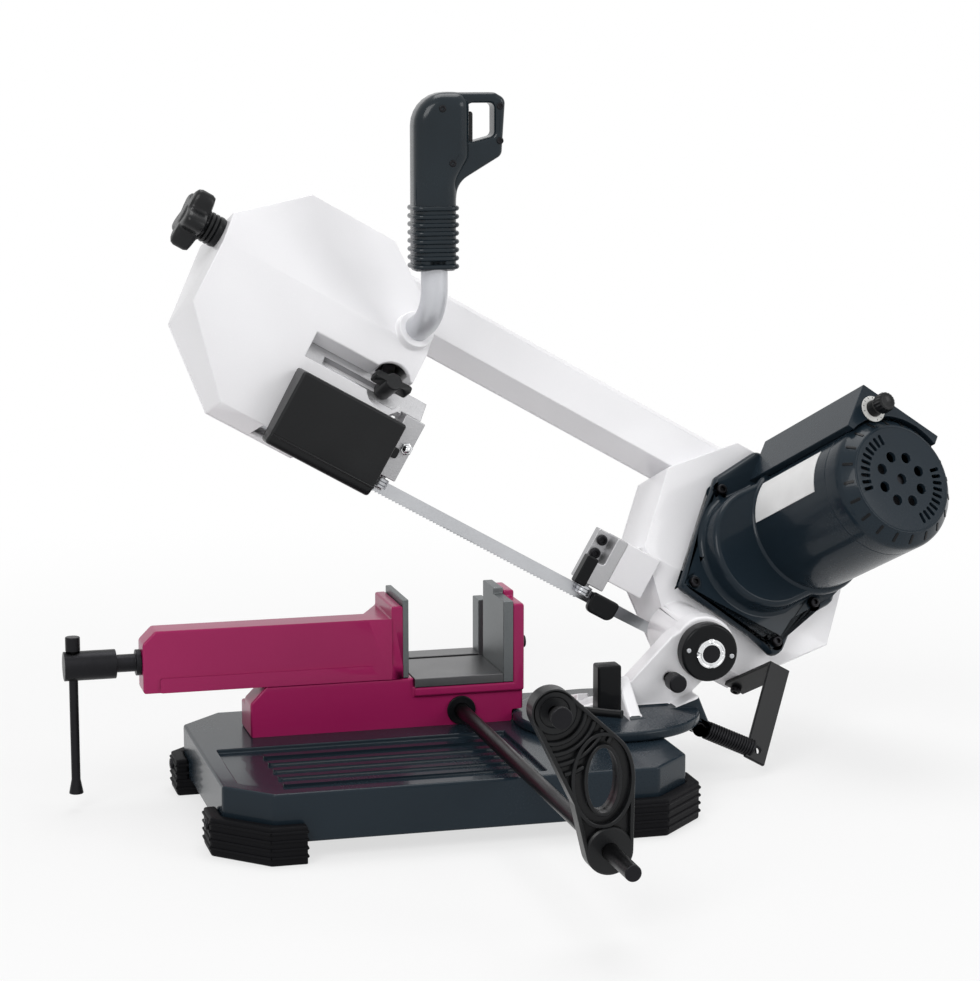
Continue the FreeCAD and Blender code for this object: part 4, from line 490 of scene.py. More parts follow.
# %% Turned, milled and moulded pieces
for node, widths, finish, slot in (
        ("table_plate", (0.8,), TABLE, "steel"),
        ("fixed_jaw_plate", (1.0, 0.5), JAW, "dark_steel"),
        ("moving_jaw_plate", (1.0,), JAW, "dark_steel"),
        ("vise_screw", (0.6,), OXIDE, "dark_steel"),
        ("rod_bush", (0.8,), BLACK, "black_paint"),
        ("stop_rod", (1.2,), OXIDE, "dark_steel"),
        ("stop_screw", (1.2, 0.5), OXIDE, "dark_steel"),
        ("swivel_lever", (), BLACK, "black_paint"),
        ("bow_lock_pin", (1.6, 0.6), OXIDE, "dark_steel"),
        ("pivot_disc", (3.0, 0.8), BLACK, "black_paint"),
        ("pivot_axle", (1.0,), OXIDE, "dark_steel"),
        ("stop_post", (2.5,), BLACK, "black_paint"),
        ("gear_case", (6.0, 3.0), ANTHRACITE, "anthracite_paint"),
        ("motor_housing", (0.8,), ANTHRACITE, "anthracite_paint"),
        ("control_box", (1.0,), ANTHRACITE, "anthracite_paint"),
        ("dial_plate", (0.3,), DIAL, "dial_plastic"),
        ("blade_guard", (3.0, 1.0), MOULDED, "black_plastic"),
        ("guide_arm", (1.0,), CASTING, "aluminium"),
        ("guide_lock", (1.8, 0.7), MOULDED, "black_plastic"),
        ("handle_tube", (0.8,), SILVER, "silver_paint"),
        ("trigger", (2.5, 1.0), MOULDED, "black_plastic"),
        ("t_bar", (1.0, 0.5), OXIDE, "dark_steel"),
        ("spring_bracket", (1.0, 0.5), BLACK, "black_paint")):
    cast(node, widths, finish)

# %% [markdown]
# ### What runs inside
# Wheels, gears, rotor and carriage are mostly hidden behind the casings. Their solids are right as they are, and
# only need a metal in place of the plain colour. The band's solid is right too: its twist is part of its shape.

# %% Finishes on the solids that stay
INSIDE = {"drive_wheel": CASTING, "idle_wheel": CASTING, "drive_shaft": GROUND, "drive_gear": GROUND,
          "motor_rotor": OXIDE, "tension_carriage": GROUND, "pivot_bush": BRASS, "vise_nut": BRASS,
          "swivel_bolt": OXIDE, "saw_blade": BAND}
for node, finish in INSIDE.items():
    nodes[node].data.materials.clear()
    nodes[node].data.materials.append(finish.material)
print(len(INSIDE), "solids keep their shape")

# %% [markdown]
# ## Turned knobs and rings
# A knob is a profile that is turned about an axis, and its lobes or flutes are a radius that swings with the angle.
# One function takes both as plain Python: the profile is a list of radii and heights, and the swing says how far
# the radius moves at each angle, so that a hub stays round while a rim gets its lobes.

# %% Turn a profile about an axis
CLOSE = 1e-6


def turned(profile, place, swing=None, steps=72):
    """A profile of rows with a radius, a height and a share of the swing. It starts and ends on the axis, or its
    first row comes again at the end and closes a ring."""
    bm = bmesh.new()
    rings = []
    for radius, height, share in profile:
        if radius == 0:
            rings.append([bm.verts.new(place @ Vector((0, 0, height)))] * steps)
            continue
        ring = []
        for i in range(steps):
            angle = 2 * math.pi * i / steps
            reach = radius + (share * swing(angle) if swing else 0)
            ring.append(bm.verts.new(place @ Vector((reach * math.cos(angle), reach * math.sin(angle), height))))
        rings.append(ring)
    for low, high in zip(rings, rings[1:]):
        for i in range(steps):
            around = []
            for vert in (low[i], low[i - steps + 1], high[i - steps + 1], high[i]):
                if vert not in around:
                    around.append(vert)
            bm.faces.new(around)
    bmesh.ops.recalc_face_normals(bm, faces=bm.faces)
    if profile[0] == profile[-1]:
        bmesh.ops.remove_doubles(bm, verts=bm.verts, dist=CLOSE)
    return bm


def ring_of(profile, place, steps=72):
    """A plain ring from rows of radius and height."""
    return turned([row + (0,) for row in profile + profile[:1]], place, steps=steps)


print("turning ready")

# %% [markdown]
# ### The tension knob
# The knob at the bow's end tightens the band. It has five soft lobes for the fingers, a ribbed neck behind them and
# a long spindle into the casing. Only the rows of the rim take a share of the swing.

# %% Five lobes and a ribbed neck
KNOB = [(0, 0, 0), (9, 0, 0), (10.5, 1.2, 0), (21, 0.8, 1), (24.4, 2.6, 1), (26, 6, 1), (26, 17, 1),
        (24.4, 20.5, 1), (20.5, 22, 0.8), (16, 23.5, 0.2), (15.6, 25, 0), (14.2, 26, 0), (15.6, 27, 0),
        (15.6, 29.5, 0), (14.2, 30.5, 0), (15.6, 31.5, 0), (15.6, 34, 0), (14.2, 35, 0), (15.6, 36, 0),
        (15.6, 39, 0), (14.6, 42, 0), (6, 42, 0), (6, 116, 0), (0, 116, 0)]
KNOB_BEFORE_WHEEL, KNOB_W, KNOB_N = 158.3, 32, 43
LOBES, LOBE_DEPTH = 5, 5.6
knob = turned(KNOB, IN_WHEELS @ shift(IDLE_U - KNOB_BEFORE_WHEEL, KNOB_W, KNOB_N) @ turn(90, "Y"),
              lambda a: LOBE_DEPTH * math.cos(LOBES * a))
finished("tension_knob_lobed", knob, MOULDED, "tension", ("tension_knob",))

# %% [markdown]
# ### The speed dial
# The dial on the control box is a small knob with fine flutes on a slimmer foot. Eighteen shallow waves in the
# radius are enough for the flutes at this size.

# %% Flutes on the speed dial
DIAL_KNOB = [(0, 22.6, 0), (5, 22.6, 0), (7.4, 23.8, 0.2), (9.0, 23.2, 0.6), (9.8, 21, 1), (9.8, 13, 1),
             (8.4, 10.5, 0.4), (7.6, 8, 0), (8.6, 2, 0), (8.6, 0, 0), (3, 0, 0), (3, -6, 0), (0, -6, 0)]
DIAL_X, DIAL_Y, DIAL_N = -53, 55, 235.5
FLUTES, FLUTE_DEPTH = 18, 0.4
dial = turned(DIAL_KNOB, ON_CONTROL @ shift(DIAL_X, DIAL_Y, DIAL_N), lambda a: FLUTE_DEPTH * math.cos(FLUTES * a))
finished("speed_dial_fluted", dial, MOULDED, "dial", ("speed_dial",))

# %% [markdown]
# ### The pivot's ring and the motor's collar
# A bright slotted ring nut holds the bow's pivot, with four slots for a hook spanner and a lip round the axle. The
# motor has a raised collar where it leaves the gear case. Both are rings: their profiles come back to the start.

# %% A slotted ring and a plain collar
PIVOT_RING = [(12.1, 0, 0), (15, 0, 0), (15, 2.2, 0.2), (14.4, 3.6, 1), (12.8, 4, 1), (12.2, 3.5, 0), (11, 3.5, 0),
              (10.6, 4, 0), (9.2, 4, 0), (8.9, 3.6, 0), (8.9, 3.05, 0), (12.1, 3.05, 0), (12.1, 0, 0)]
DISC_FACE, SLOTS, SLOT_DEPTH, SLOT_EDGE = 11, 4, 1.5, 0.8
ring = turned(PIVOT_RING, IN_ROOM @ shift(PIVOT_X, DISC_FACE, PIVOT_Z) @ turn(90, "X"),
              lambda a: -SLOT_DEPTH * (math.cos(SLOTS * a) > SLOT_EDGE), steps=144)
finished("pivot_ring_slotted", ring, CHROME, "swivel", ("pivot_ring",))
COLLAR = [(67.9, 70), (71.6, 70), (72.2, 72), (72, 76), (70.4, 79), (67.9, 80)]
finished("motor_collar", ring_of(COLLAR, ON_MOTOR, steps=128), ANTHRACITE, "bow")

# %% [markdown]
# ### The motor's blank plate
# A plate is riveted to the motor's side. It follows the cylinder, so it is a strip of short flats bent to the
# motor's radius, with a thickness of half a millimetre. It carries nothing.

# %% Bend a plate round the motor
PLATE_FROM, PLATE_SWEEP, PLATE_FLATS = 118, 39, 14
PLATE_UNDER, PLATE_OVER, PLATE_ENDS = 68.05, 68.6, (81, 187)
plate = bmesh.new()
rows = []
for i in range(PLATE_FLATS + 1):
    angle = math.radians(PLATE_FROM + PLATE_SWEEP * i / PLATE_FLATS)
    for reach in (PLATE_UNDER, PLATE_OVER):
        rows.append([plate.verts.new(ON_MOTOR @ Vector((reach * math.cos(angle), reach * math.sin(angle), n)))
                     for n in PLATE_ENDS])
for i in range(PLATE_FLATS):
    low, high, next_low, next_high = rows[2 * i: 2 * i + 4]
    for a, b in ((low, next_low), (high, next_high)):
        plate.faces.new((a[0], b[0], b[1], a[1]))
    for k in (0, 1):
        plate.faces.new((low[k], next_low[k], next_high[k], high[k]))
for low, high in (rows[:2], rows[-2:]):
    plate.faces.new((low[0], low[1], high[1], high[0]))
bmesh.ops.recalc_face_normals(plate, faces=plate.faces)
finished("motor_blank_plate", plate, PLATE, "bow")

# %% [markdown]
# ## What repeats
# Screws, teeth and slots repeat one shape at marked places, and a wire follows a path. Geometry Nodes do both: the
# first tree sets a pattern on every marked point, turned to its axis, and the second sweeps a round section along a
# line of points. Their sizes are named inputs, and each result becomes a plain mesh before it rides on its body.

# %% A recipe is a tree with named inputs
SMOOTH_SET = math.radians(38)


class Recipe(Graph):
    def __init__(self, name, inputs):
        super().__init__(bpy.data.node_groups.new(name, "GeometryNodeTree"))
        face = self.tree.interface
        face.new_socket("Geometry", in_out="INPUT", socket_type="NodeSocketGeometry")
        self.keys = {}
        for label, kind in inputs.items():
            self.keys[label] = face.new_socket(label, in_out="INPUT", socket_type="NodeSocket" + kind).identifier
        face.new_socket("Geometry", in_out="OUTPUT", socket_type="NodeSocketGeometry")
        self.start = self.tree.nodes.new("NodeGroupInput")
        self.stop = self.tree.nodes.new("NodeGroupOutput")

    def given(self, label):
        return Wire(self, self.start.outputs[label])

    def close(self, made):
        made = self.node("GeometryNodeRealizeInstances", {}, {"Geometry": made})
        made = self.node("GeometryNodeSetMaterial", {}, {"Geometry": made, "Material": self.given("Finish")})
        self.tree.links.new(made.socket, self.stop.inputs["Geometry"])

    def run(self, name, marks, values, finish):
        rough = linked(name + "_marks", marks)
        step = rough.modifiers.new("recipe", "NODES")
        step.node_group = self.tree
        for label, value in values.items():
            step[self.keys[label]] = value
        step[self.keys["Finish"]] = finish.material
        made = plain_copy(rough, name)
        made.data.shade_smooth()
        made.data.set_sharp_from_angle(angle=SMOOTH_SET)
        return made


print("recipes can be written")

# %% [markdown]
# ### Set out a pattern
# A marked point carries an axis and a direction across it. The tree stands the pattern up along the axis, turns it
# to the direction, and scales it, so one small mesh serves screws of every size.

# %% The tree that sets out, and its marks
SET_OUT = Recipe("set out a pattern", {"Pattern": "Object", "Scale": "Vector", "Finish": "Material"})
axis = SET_OUT.node("GeometryNodeInputNamedAttribute", {"data_type": "FLOAT_VECTOR"}, {"Name": "axis"})
along = SET_OUT.node("GeometryNodeInputNamedAttribute", {"data_type": "FLOAT_VECTOR"}, {"Name": "along"})
stand = SET_OUT.node("FunctionNodeAlignRotationToVector", {"axis": "Z"}, {"Vector": axis})
stand = SET_OUT.node("FunctionNodeAlignRotationToVector", {"axis": "X", "pivot_axis": "Z"},
                     {"Rotation": stand, "Vector": along})
shape = SET_OUT.node("GeometryNodeObjectInfo", {"transform_space": "ORIGINAL"},
                     {"Object": SET_OUT.given("Pattern")}, out="Geometry")
SET_OUT.close(SET_OUT.node("GeometryNodeInstanceOnPoints", {}, {
    "Points": SET_OUT.given("Geometry"), "Instance": shape, "Rotation": stand, "Scale": SET_OUT.given("Scale")}))
X, Y, Z = Vector((1, 0, 0)), Vector((0, 1, 0)), Vector((0, 0, 1))


def rows_in(place, rows):
    """Rows of a place, an axis and a direction, from millimetres in one of the saw's frames to the room."""
    turn_only = place.to_3x3()
    return [(place @ Vector(p), turn_only @ Vector(a), turn_only @ Vector(c)) for p, a, c in rows]


def set_out(name, pattern, rows, size, finish, body, stands_for=()):
    """The pattern at every row, as one piece; the size is in millimetres."""
    marks = bpy.data.meshes.new("marks")
    marks.from_pydata([row[0] for row in rows], [], [])
    for k, label in ((1, "axis"), (2, "along")):
        kept = marks.attributes.new(label, "FLOAT_VECTOR", "POINT")
        kept.data.foreach_set("vector", [v for row in rows for v in row[k].normalized()])
    made = SET_OUT.run(name, marks, {"Pattern": pattern, "Scale": tuple(0.001 * s for s in size)}, finish)
    print(name, len(rows), "times")
    return settle(made, finish, body, stands_for)


print("recipe:", SET_OUT.tree.name)

# %% [markdown]
# ### Draw a wire
# Springs, ribs and thin strokes are all a round section along a path. The tree turns edges into a curve and sweeps
# the section along it, with closed ends.

# %% The tree that draws
DRAW_WIRE = Recipe("draw a wire", {"Wire radius": "Float", "Sides": "Int", "Finish": "Material"})
path = DRAW_WIRE.node("GeometryNodeMeshToCurve", {}, {"Mesh": DRAW_WIRE.given("Geometry")})
section = DRAW_WIRE.node("GeometryNodeCurvePrimitiveCircle", {}, {
    "Resolution": DRAW_WIRE.given("Sides"), "Radius": DRAW_WIRE.given("Wire radius")})
DRAW_WIRE.close(DRAW_WIRE.node("GeometryNodeCurveToMesh", {}, {
    "Curve": path, "Profile Curve": section, "Fill Caps": True}))


def drawn(name, points, edges, radius, sides, finish):
    """A wire along the edges between points in the room; the radius is in millimetres."""
    mesh = bpy.data.meshes.new(name + "_path")
    mesh.from_pydata(points, edges, [])
    print(name, len(edges), "steps of wire")
    return DRAW_WIRE.run(name, mesh, {"Wire radius": 0.001 * radius, "Sides": sides}, finish)


print("recipe:", DRAW_WIRE.tree.name)

# %% [markdown]
# ### Screws
# Every screw here is a socket head: a turned cap with a broken edge and a six-sided hole. One head of unit size is
# made by turning a profile whose inner rings are pulled to a hexagon, and each set of screws scales it.

# %% One socket head
HEAD = [(0, 0.0, 0), (1, 0, 0), (1, 0.66, 0), (0.94, 0.86, 0), (0.84, 0.96, 0), (0.7, 1, 0), (0.5, 0.97, 0.5),
        (0.46, 0.9, 0.46), (0.46, 0.4, 0.46), (0, 0.34, 0)]


def hexagon(angle):
    return 1 / math.cos((angle + math.pi / 6) % (math.pi / 3) - math.pi / 6) - 1


head = linked("socket_head", mesh_of("socket_head", turned(HEAD, Matrix.Identity(4), hexagon, steps=36)))
print("head of", len(head.data.polygons), "faces")

# %% [markdown]
# ### Where the screws sit
# The screws hold the gear case, the rear cover, the feet, the fixed jaw, the guide's bracket and the grip. Each set
# is written in the frame of the piece that it holds, with its axis pointing out of that piece.

# %% Six sets of screws
CASING_HALF, CASE_FACE, COVER_FACE = 116.0, 54, -22
CASE_SHARES = ((-0.498, 0.395), (-0.498, -0.567), (0.429, -0.704), (0.687, -0.172))
COVER_STEPS = ((45.98, 111), (111, 45.98))
FEET = ((-220, -155.5, 1, 1), (220, -155.5, -1, 1), (-220, 155.5, 1, -1), (220, 110.5, -1, -1))
FOOT_LAP, FOOT_ALONG, FOOT_SCREW_Z = 12, 48.84, 26.5
JAW_BOLTS = ((106, 61, 139), (106, 105, 139))
BRACKET_FRONT, BRACKET_END = ((-111.5, 135, 31), (-111.5, 135, 46)), (95.22, -120, -5)
GRIP_PLACES = ((92.5, 83.9, 628), (92.5, 83.9, 661), (34, 77.6, 659), (44, 77.6, 607))
SCREWS = {
    "gear_case_screws": ("bow", 5.5, 5.0, rows_in(IN_WHEELS, [
        ((DRIVE_U + CASING_HALF * u, CASING_HALF * w, CASE_FACE), Z, X) for u, w in CASE_SHARES])),
    "cover_screws": ("bow", 4.0, 2.5, rows_in(IN_WHEELS, [
        ((centre + out * a, side * b, COVER_FACE), -Z, X) for centre, out in ((IDLE_U, -1), (DRIVE_U, 1))
        for a, b in COVER_STEPS for side in (-1, 1)])),
    "foot_screws": ("base", 5.5, 3.0, rows_in(IN_ROOM, [
        ((x - sx * FOOT_LAP, y + sy * FOOT_ALONG, FOOT_SCREW_Z), -sx * X, Z) for x, y, sx, sy in FEET])),
    "fixed_jaw_bolts": ("base", 6.5, 6.0, rows_in(IN_ROOM, [(place, X, Z) for place in JAW_BOLTS])),
    "bracket_screws": ("bow", 5.5, 5.0, rows_in(IN_BOW, [(place, -Y, Z) for place in BRACKET_FRONT])
                       + rows_in(IN_WHEELS, [(BRACKET_END, -Y, X)])),
    "grip_screws": ("bow", 3.4, 1.6, rows_in(IN_ROOM, [(place, -Y, Z) for place in GRIP_PLACES])),
}
for node, (body, radius, height, rows) in SCREWS.items():
    set_out(node + "_heads", head, rows, (radius, radius, height), OXIDE, body, (node,))

# %% [markdown]
# ### The disc's own screws
# Two small bright screws sit left and right of the ring on the pivot's black disc. They are the same head, much
# smaller, and catch the light as two points.

# %% Two small screws on the pivot's disc
DISC_ASIDE, DISC_DROP, DISC_SCREW_Y, DISC_SCREW = 22.4, 4, 11.4, (2.4, 2.4, 1.6)
rows = rows_in(IN_ROOM, [((PIVOT_X + side * DISC_ASIDE, DISC_SCREW_Y, PIVOT_Z - side * DISC_DROP), -Y, Z)
                         for side in (-1, 1)])
set_out("pivot_disc_screws", head, rows, DISC_SCREW, GROUND, "swivel")

# %% [markdown]
# ### The rubber feet
# A foot is a corner of rubber with level ribs. A cut through the foot at a rib's height gives the rib's path, so the
# wire recipe draws every rib along the foot's own outline.

# %% Shorten the feet and lay their ribs
FOOT_END, RIB_LEVELS = 0.152, (0.008, 0.0155, 0.023, 0.0305)


def cut_through(bm, at, facing, clear=False):
    """Cut the mesh along a plane, and give the edges of the cut."""
    cut = bmesh.ops.bisect_plane(bm, geom=bm.verts[:] + bm.edges[:] + bm.faces[:], dist=1e-7, plane_co=at,
                                 plane_no=facing, clear_outer=clear)
    return [e for e in cut["geom_cut"] if isinstance(e, bmesh.types.BMEdge)]


def cut_off(bm, at, facing):
    """The part of the mesh behind a plane, closed where it was cut."""
    bmesh.ops.triangle_fill(bm, edges=cut_through(bm, at, facing, True), use_beauty=True)
    return bm


def together(parts):
    """The parts as one mesh, with its faces pointing outwards."""
    whole = bmesh.new()
    for bm in parts:
        whole.from_mesh(mesh_of("part", bm))
    bmesh.ops.recalc_face_normals(whole, faces=whole.faces)
    return whole


feet = together([cut_off(joined("corner_feet"), (side * FOOT_END, 0, 0), (-side, 0, 0)) for side in (-1, 1)])
points, edges = [], []
for height in RIB_LEVELS:
    level = feet.copy()
    for edge in cut_through(level, (0, 0, height), (0, 0, 1)):
        edges.append((len(points), len(points) + 1))
        points += [v.co.copy() for v in edge.verts]
    level.free()
settle(drawn("corner_feet_ribs", points, edges, radius=1.4, sides=8, finish=RUBBER), RUBBER, "base")
finished("corner_feet_cast", round_edges(feet, (3.0,)), RUBBER, "base", ("corner_feet",))

# %% [markdown]
# ### Marks round the dial
# The pale ring carries short plain strokes over three quarters of a turn. Each is a thin wire laid on the ring.

# %% Strokes on the dial's ring
STROKES, STROKE_FROM, STROKE_STEP, STROKE_N, STROKE_ENDS = 11, -45, 27, 235.2, (10.9, 12.7)
points = []
for i in range(STROKES):
    angle = math.radians(STROKE_FROM + STROKE_STEP * i)
    points += [ON_CONTROL @ Vector((r * math.cos(angle) + DIAL_X, r * math.sin(angle) + DIAL_Y, STROKE_N))
               for r in STROKE_ENDS]
edges = [(i, i + 1) for i in range(0, len(points), 2)]
settle(drawn("dial_strokes", points, edges, radius=0.3, sides=6, finish=BLACK), BLACK, "bow")

# %% [markdown]
# ### Teeth of the band
# The cutting edge has a tooth about every four millimetres. A tooth is a small wedge with a steep front and a sloping
# back, set out along the straight run and pointing down from the band.

# %% Teeth along the cutting run
TOOTH, TOOTH_HALF = ((-2.0, 0.4), (2.0, 0.4), (-1.4, -1.3)), 0.45
TEETH, TEETH_FROM, TOOTH_PITCH, BAND_EDGE = 61, -350, 4.0, -17.5
wedge = bmesh.new()
front, back = [[wedge.verts.new((x, y, z)) for x, z in TOOTH] for y in (-TOOTH_HALF, TOOTH_HALF)]
wedge.faces.new(front)
wedge.faces.new(back[::-1])
for i in range(3):
    wedge.faces.new((front[i], front[i - 2], back[i - 2], back[i]))
bmesh.ops.recalc_face_normals(wedge, faces=wedge.faces)
tooth = linked("tooth", mesh_of("tooth", wedge))
rows = rows_in(IN_BOW, [((TEETH_FROM + TOOTH_PITCH * i, BAND_Y, BAND_EDGE), Z, X) for i in range(TEETH)])
set_out("saw_blade_teeth", tooth, rows, (1, 1, 1), BAND, "bow")

# %% [markdown]
# ### The return spring
# A tension spring of thin wire, with a hook at each end: one on the arm's tail and one in the bow's bracket. Its
# path is a helix whose ends run out to the axis, and the wire recipe sweeps a round section along it. Its turns
# nearly touch, as in a tension spring at rest. The spring crosses the bow's pivot, and it is put on neither body:
# it stays where it is in the room.

# %% Wind the spring
tail_end, bracket_end = Vector((279, 13, 52)), Vector((339, 13, 24))
HOOK_R, HOOK_ASIDE, HOOK_SWEEP, HOOK_STEPS = 4.2, 0.2, 290, 24
TAIL_HOOK_FROM, BRACKET_HOOK_FROM = -200, -90
COIL_R, TURNS, PITCH, TURN_STEPS, SPRING_WIRE = 8, 18, 2.95, 20, 1.4
pull = bracket_end - tail_end
span = pull.length
place = MM @ Matrix.Translation(tail_end) @ pull.to_track_quat("Z", "Y").to_matrix().to_4x4()


def hook(angle, end, way):
    return 0, HOOK_R * math.cos(angle) - HOOK_ASIDE, end + way * HOOK_R * math.sin(angle)


sweeps = [HOOK_SWEEP * i / HOOK_STEPS for i in range(HOOK_STEPS + 1)]
coil = [hook(math.radians(sweep + TAIL_HOOK_FROM), 0, 1) for sweep in sweeps]
first = (span - TURNS * PITCH) / 2
for i in range(TURNS * TURN_STEPS + 1):
    angle = 2 * math.pi * i / TURN_STEPS
    coil.append((COIL_R * math.sin(angle), COIL_R * math.cos(angle), first + PITCH * i / TURN_STEPS))
coil += [hook(math.radians(sweep + BRACKET_HOOK_FROM), span, -1) for sweep in sweeps[::-1]]
points = [place @ Vector(p) for p in coil]
edges = [(i, i + 1) for i in range(len(coil) - 1)]
spring = drawn("return_spring_wound", points, edges, radius=SPRING_WIRE, sides=10, finish=OXIDE)
coloured(spring, OXIDE)
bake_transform(spring)
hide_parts("return_spring")
print("spring of", TURNS, "turns,", round(span, 1), "mm long")

# %% [markdown]
# ## Flat forms with soft edges
# The grip, the stop arm and the guide's bracket are flat mouldings and castings with rounded rims. An outline is
# drawn with a radius at each corner and filled as a flat curve with a round bevel, which gives the soft edge at
# once, also round holes. The curve then becomes a mesh, before it gets its place.

# %% Outlines with round corners, and flat forms
FORM_CLOSE = 1e-3


def corners(points, steps=7):
    """An outline with each corner replaced by an arc; a point is x, z and the radius there."""
    out = []
    for i, (x, z, radius) in enumerate(points):
        here = Vector((x, z))
        before = (Vector(points[i - 1][:2]) - here).normalized()
        after = (Vector(points[(i + 1) % len(points)][:2]) - here).normalized()
        half = before.angle(after) / 2
        centre = here + (before + after).normalized() * (radius / math.sin(half))
        start = here + before * (radius / math.tan(half)) - centre
        end = here + after * (radius / math.tan(half)) - centre
        sweep = start.angle_signed(end)
        for k in range(steps + 1):
            spot = start.copy()
            spot.rotate(Matrix.Rotation(-sweep * k / steps, 2))
            out.append(centre + spot)
    return out


def flat_form(name, outlines, half, soft):
    """Outlines filled as a flat curve, thickened to both sides with a round edge, as a mesh in millimetres."""
    curve = bpy.data.curves.new(name, "CURVE")
    curve.dimensions = "2D"
    curve.fill_mode = "BOTH"
    curve.extrude = half - soft
    curve.bevel_depth = soft
    curve.bevel_resolution = 5
    curve.offset = -soft
    for outline in outlines:
        spline = curve.splines.new("POLY")
        spline.points.add(len(outline) - 1)
        for point, spot in zip(spline.points, outline):
            point.co = (spot[0], spot[1], 0, 1)
        spline.use_cyclic_u = True
    made = plain_copy(linked(name, curve), name)
    bm = bmesh.new()
    bm.from_mesh(made.data)
    bpy.data.objects.remove(made)
    bmesh.ops.remove_doubles(bm, verts=bm.verts, dist=FORM_CLOSE)
    return bm


print("flat forms ready")

# %% [markdown]
# ## The grip
# A pistol grip is moulded in two halves that close on the tube. Its bevel is wide on the handle, so that it fills
# the hand, and narrower on the finger loop. A cut along the middle makes the two halves.

# %% Draw, fill and split the grip
HANDLE = [(8, 503, 4), (50, 503, 4), (50, 590, 18), (63, 612, 10), (63, 674.5, 14), (8, 674.5, 32)]
BOW_OF_LOOP = [(36, 556, 3), (48.5, 556, 3), (51, 588, 22), (95, 614, 8), (98.5, 668, 8), (88, 674, 6), (44, 674, 6)]
LOOP = [(61, 626, 5), (87.5, 633, 5), (87.5, 664, 5), (61, 664, 5)]
GRIP_Y = 96
forms = [flat_form("handle", [corners(HANDLE)], half=19, soft=13),
         flat_form("loop", [corners(BOW_OF_LOOP), corners(LOOP)], half=12.5, soft=4.5)]
for bm in forms:
    bmesh.ops.transform(bm, matrix=IN_ROOM @ shift(0, GRIP_Y, 0) @ turn(90, "X"), verts=bm.verts)
for node, sign in (("grip_front_shell", -1), ("grip_back_shell", 1)):
    half = together([cut_off(bm.copy(), (0, 0.001 * GRIP_Y, 0), (0, -sign, 0)) for bm in forms])
    finished(node + "_moulded", half, GRIP, "bow", (node,))
for bm in forms:
    bm.free()

# %% [markdown]
# ### Ribs on the grip
# The lower part has eight round ribs that run round the grip. Each follows the grip's own section, so the wire
# recipe draws them all from closed loops of points.

# %% Eight ribs round the grip
GRIP_SECTION = [(8.6, 77.6, 8), (49.4, 77.6, 8), (49.4, 114.4, 8), (8.6, 114.4, 8)]
RIBS, RIB_FROM, RIB_STEP = 8, 508, 8
points, edges = [], []
outline = corners(GRIP_SECTION)
for i in range(RIBS):
    first = len(points)
    points += [IN_ROOM @ Vector((x, y, RIB_FROM + RIB_STEP * i)) for x, y in outline]
    edges += [(first + k, first + (k + 1) % len(outline)) for k in range(len(outline))]
settle(drawn("grip_ribs", points, edges, radius=2.6, sides=12, finish=GRIP), GRIP, "bow")

# %% [markdown]
# ## The ribbed stop arm
# The length stop is a moulding: a thin web with a rim round it, a window, and curved ribs that stiffen the neck. A
# rim's outline is the hull of two rounds, so the same rounds made smaller give its inner edge.

# %% Rounds, straps and the window of the stop arm
PAD, RING, CLAMP = (-4, 196, 19, 19), (37, 137, 27, 40), (43, 77.5, 20, 20)


def oval(x, z, half_x, half_z, steps=48):
    angles = [2 * math.pi * i / steps for i in range(steps)]
    return [Vector((x + half_x * math.cos(a), z + half_z * math.sin(a))) for a in angles]


def strap(rounds, inset):
    """The hull of two rounds, each made smaller by the inset."""
    spots = [spot for x, z, a, b in rounds for spot in oval(x, z, a - inset, b - inset)]
    return [spots[i] for i in convex_hull_2d(spots)]


window = oval(*RING[:2], half_x=13, half_z=27)
wall = oval(*RING[:2], half_x=16.2, half_z=30.2)
print("window of", len(window), "points")

# %% [markdown]
# ### The arm itself
# Each half has its rim and its web, and the window gets a wall of its own. The clamp on the rod and the pad at the
# top are turned rings, because a rod and a screw pass through them.

# %% Rims, webs, clamp and pad
CLAMP_RING = [(7.3, -9), (18.5, -9), (20, -7.5), (20, -4), (18.4, -3), (18.4, 3), (20, 4), (20, 7.5), (18.5, 9),
              (7.3, 9)]
PAD_RING = [(5.2, -9), (17.6, -9), (19, -7.6), (19, 7.6), (17.6, 9), (13, 9), (12, 7.5), (5.2, 7.5)]
STOP_Y, RIM_WIDTH, WEB_INSET = -430, 3.4, 1.5
forms = [flat_form("window", [wall, window], half=9, soft=1.0)]
for rounds, half in (((PAD, RING), 9.0), ((RING, CLAMP), 8.6)):
    forms.append(flat_form("rim", [strap(rounds, inset=0), strap(rounds, RIM_WIDTH)], half, soft=1.0))
    forms.append(flat_form("web", [strap(rounds, WEB_INSET), window], half / 3, soft=0.6))
forms += [ring_of(CLAMP_RING, shift(*CLAMP[:2], 0)), ring_of(PAD_RING, shift(*PAD[:2], 0))]
whole = together(forms)
stop_place = IN_ROOM @ shift(0, STOP_Y, 0) @ turn(90, "X")
bmesh.ops.transform(whole, matrix=stop_place, verts=whole.verts)
finished("stop_arm_ribbed", whole, MOULDED, "stop", ("stop_arm",))

# %% [markdown]
# ### The arm's ribs
# The ribs are arcs about the pad on both faces of the web, cut off where they meet the rim or the window. Each point
# of an arc is kept or left out by that test, and neighbours that are kept are joined.

# %% Arcs about the pad
RIB_REACHES, RIB_SIDES, RIB_ANGLES = (27, 36, 45, 54), (-4.4, 4.4), range(-125, 16, 3)
field = strap((PAD, RING), inset=2)


def inside(spot, outline):
    sides = [(b - a).cross(spot - a) for a, b in zip(outline, outline[1:] + outline[:1])]
    return min(sides) > 0 or max(sides) < 0


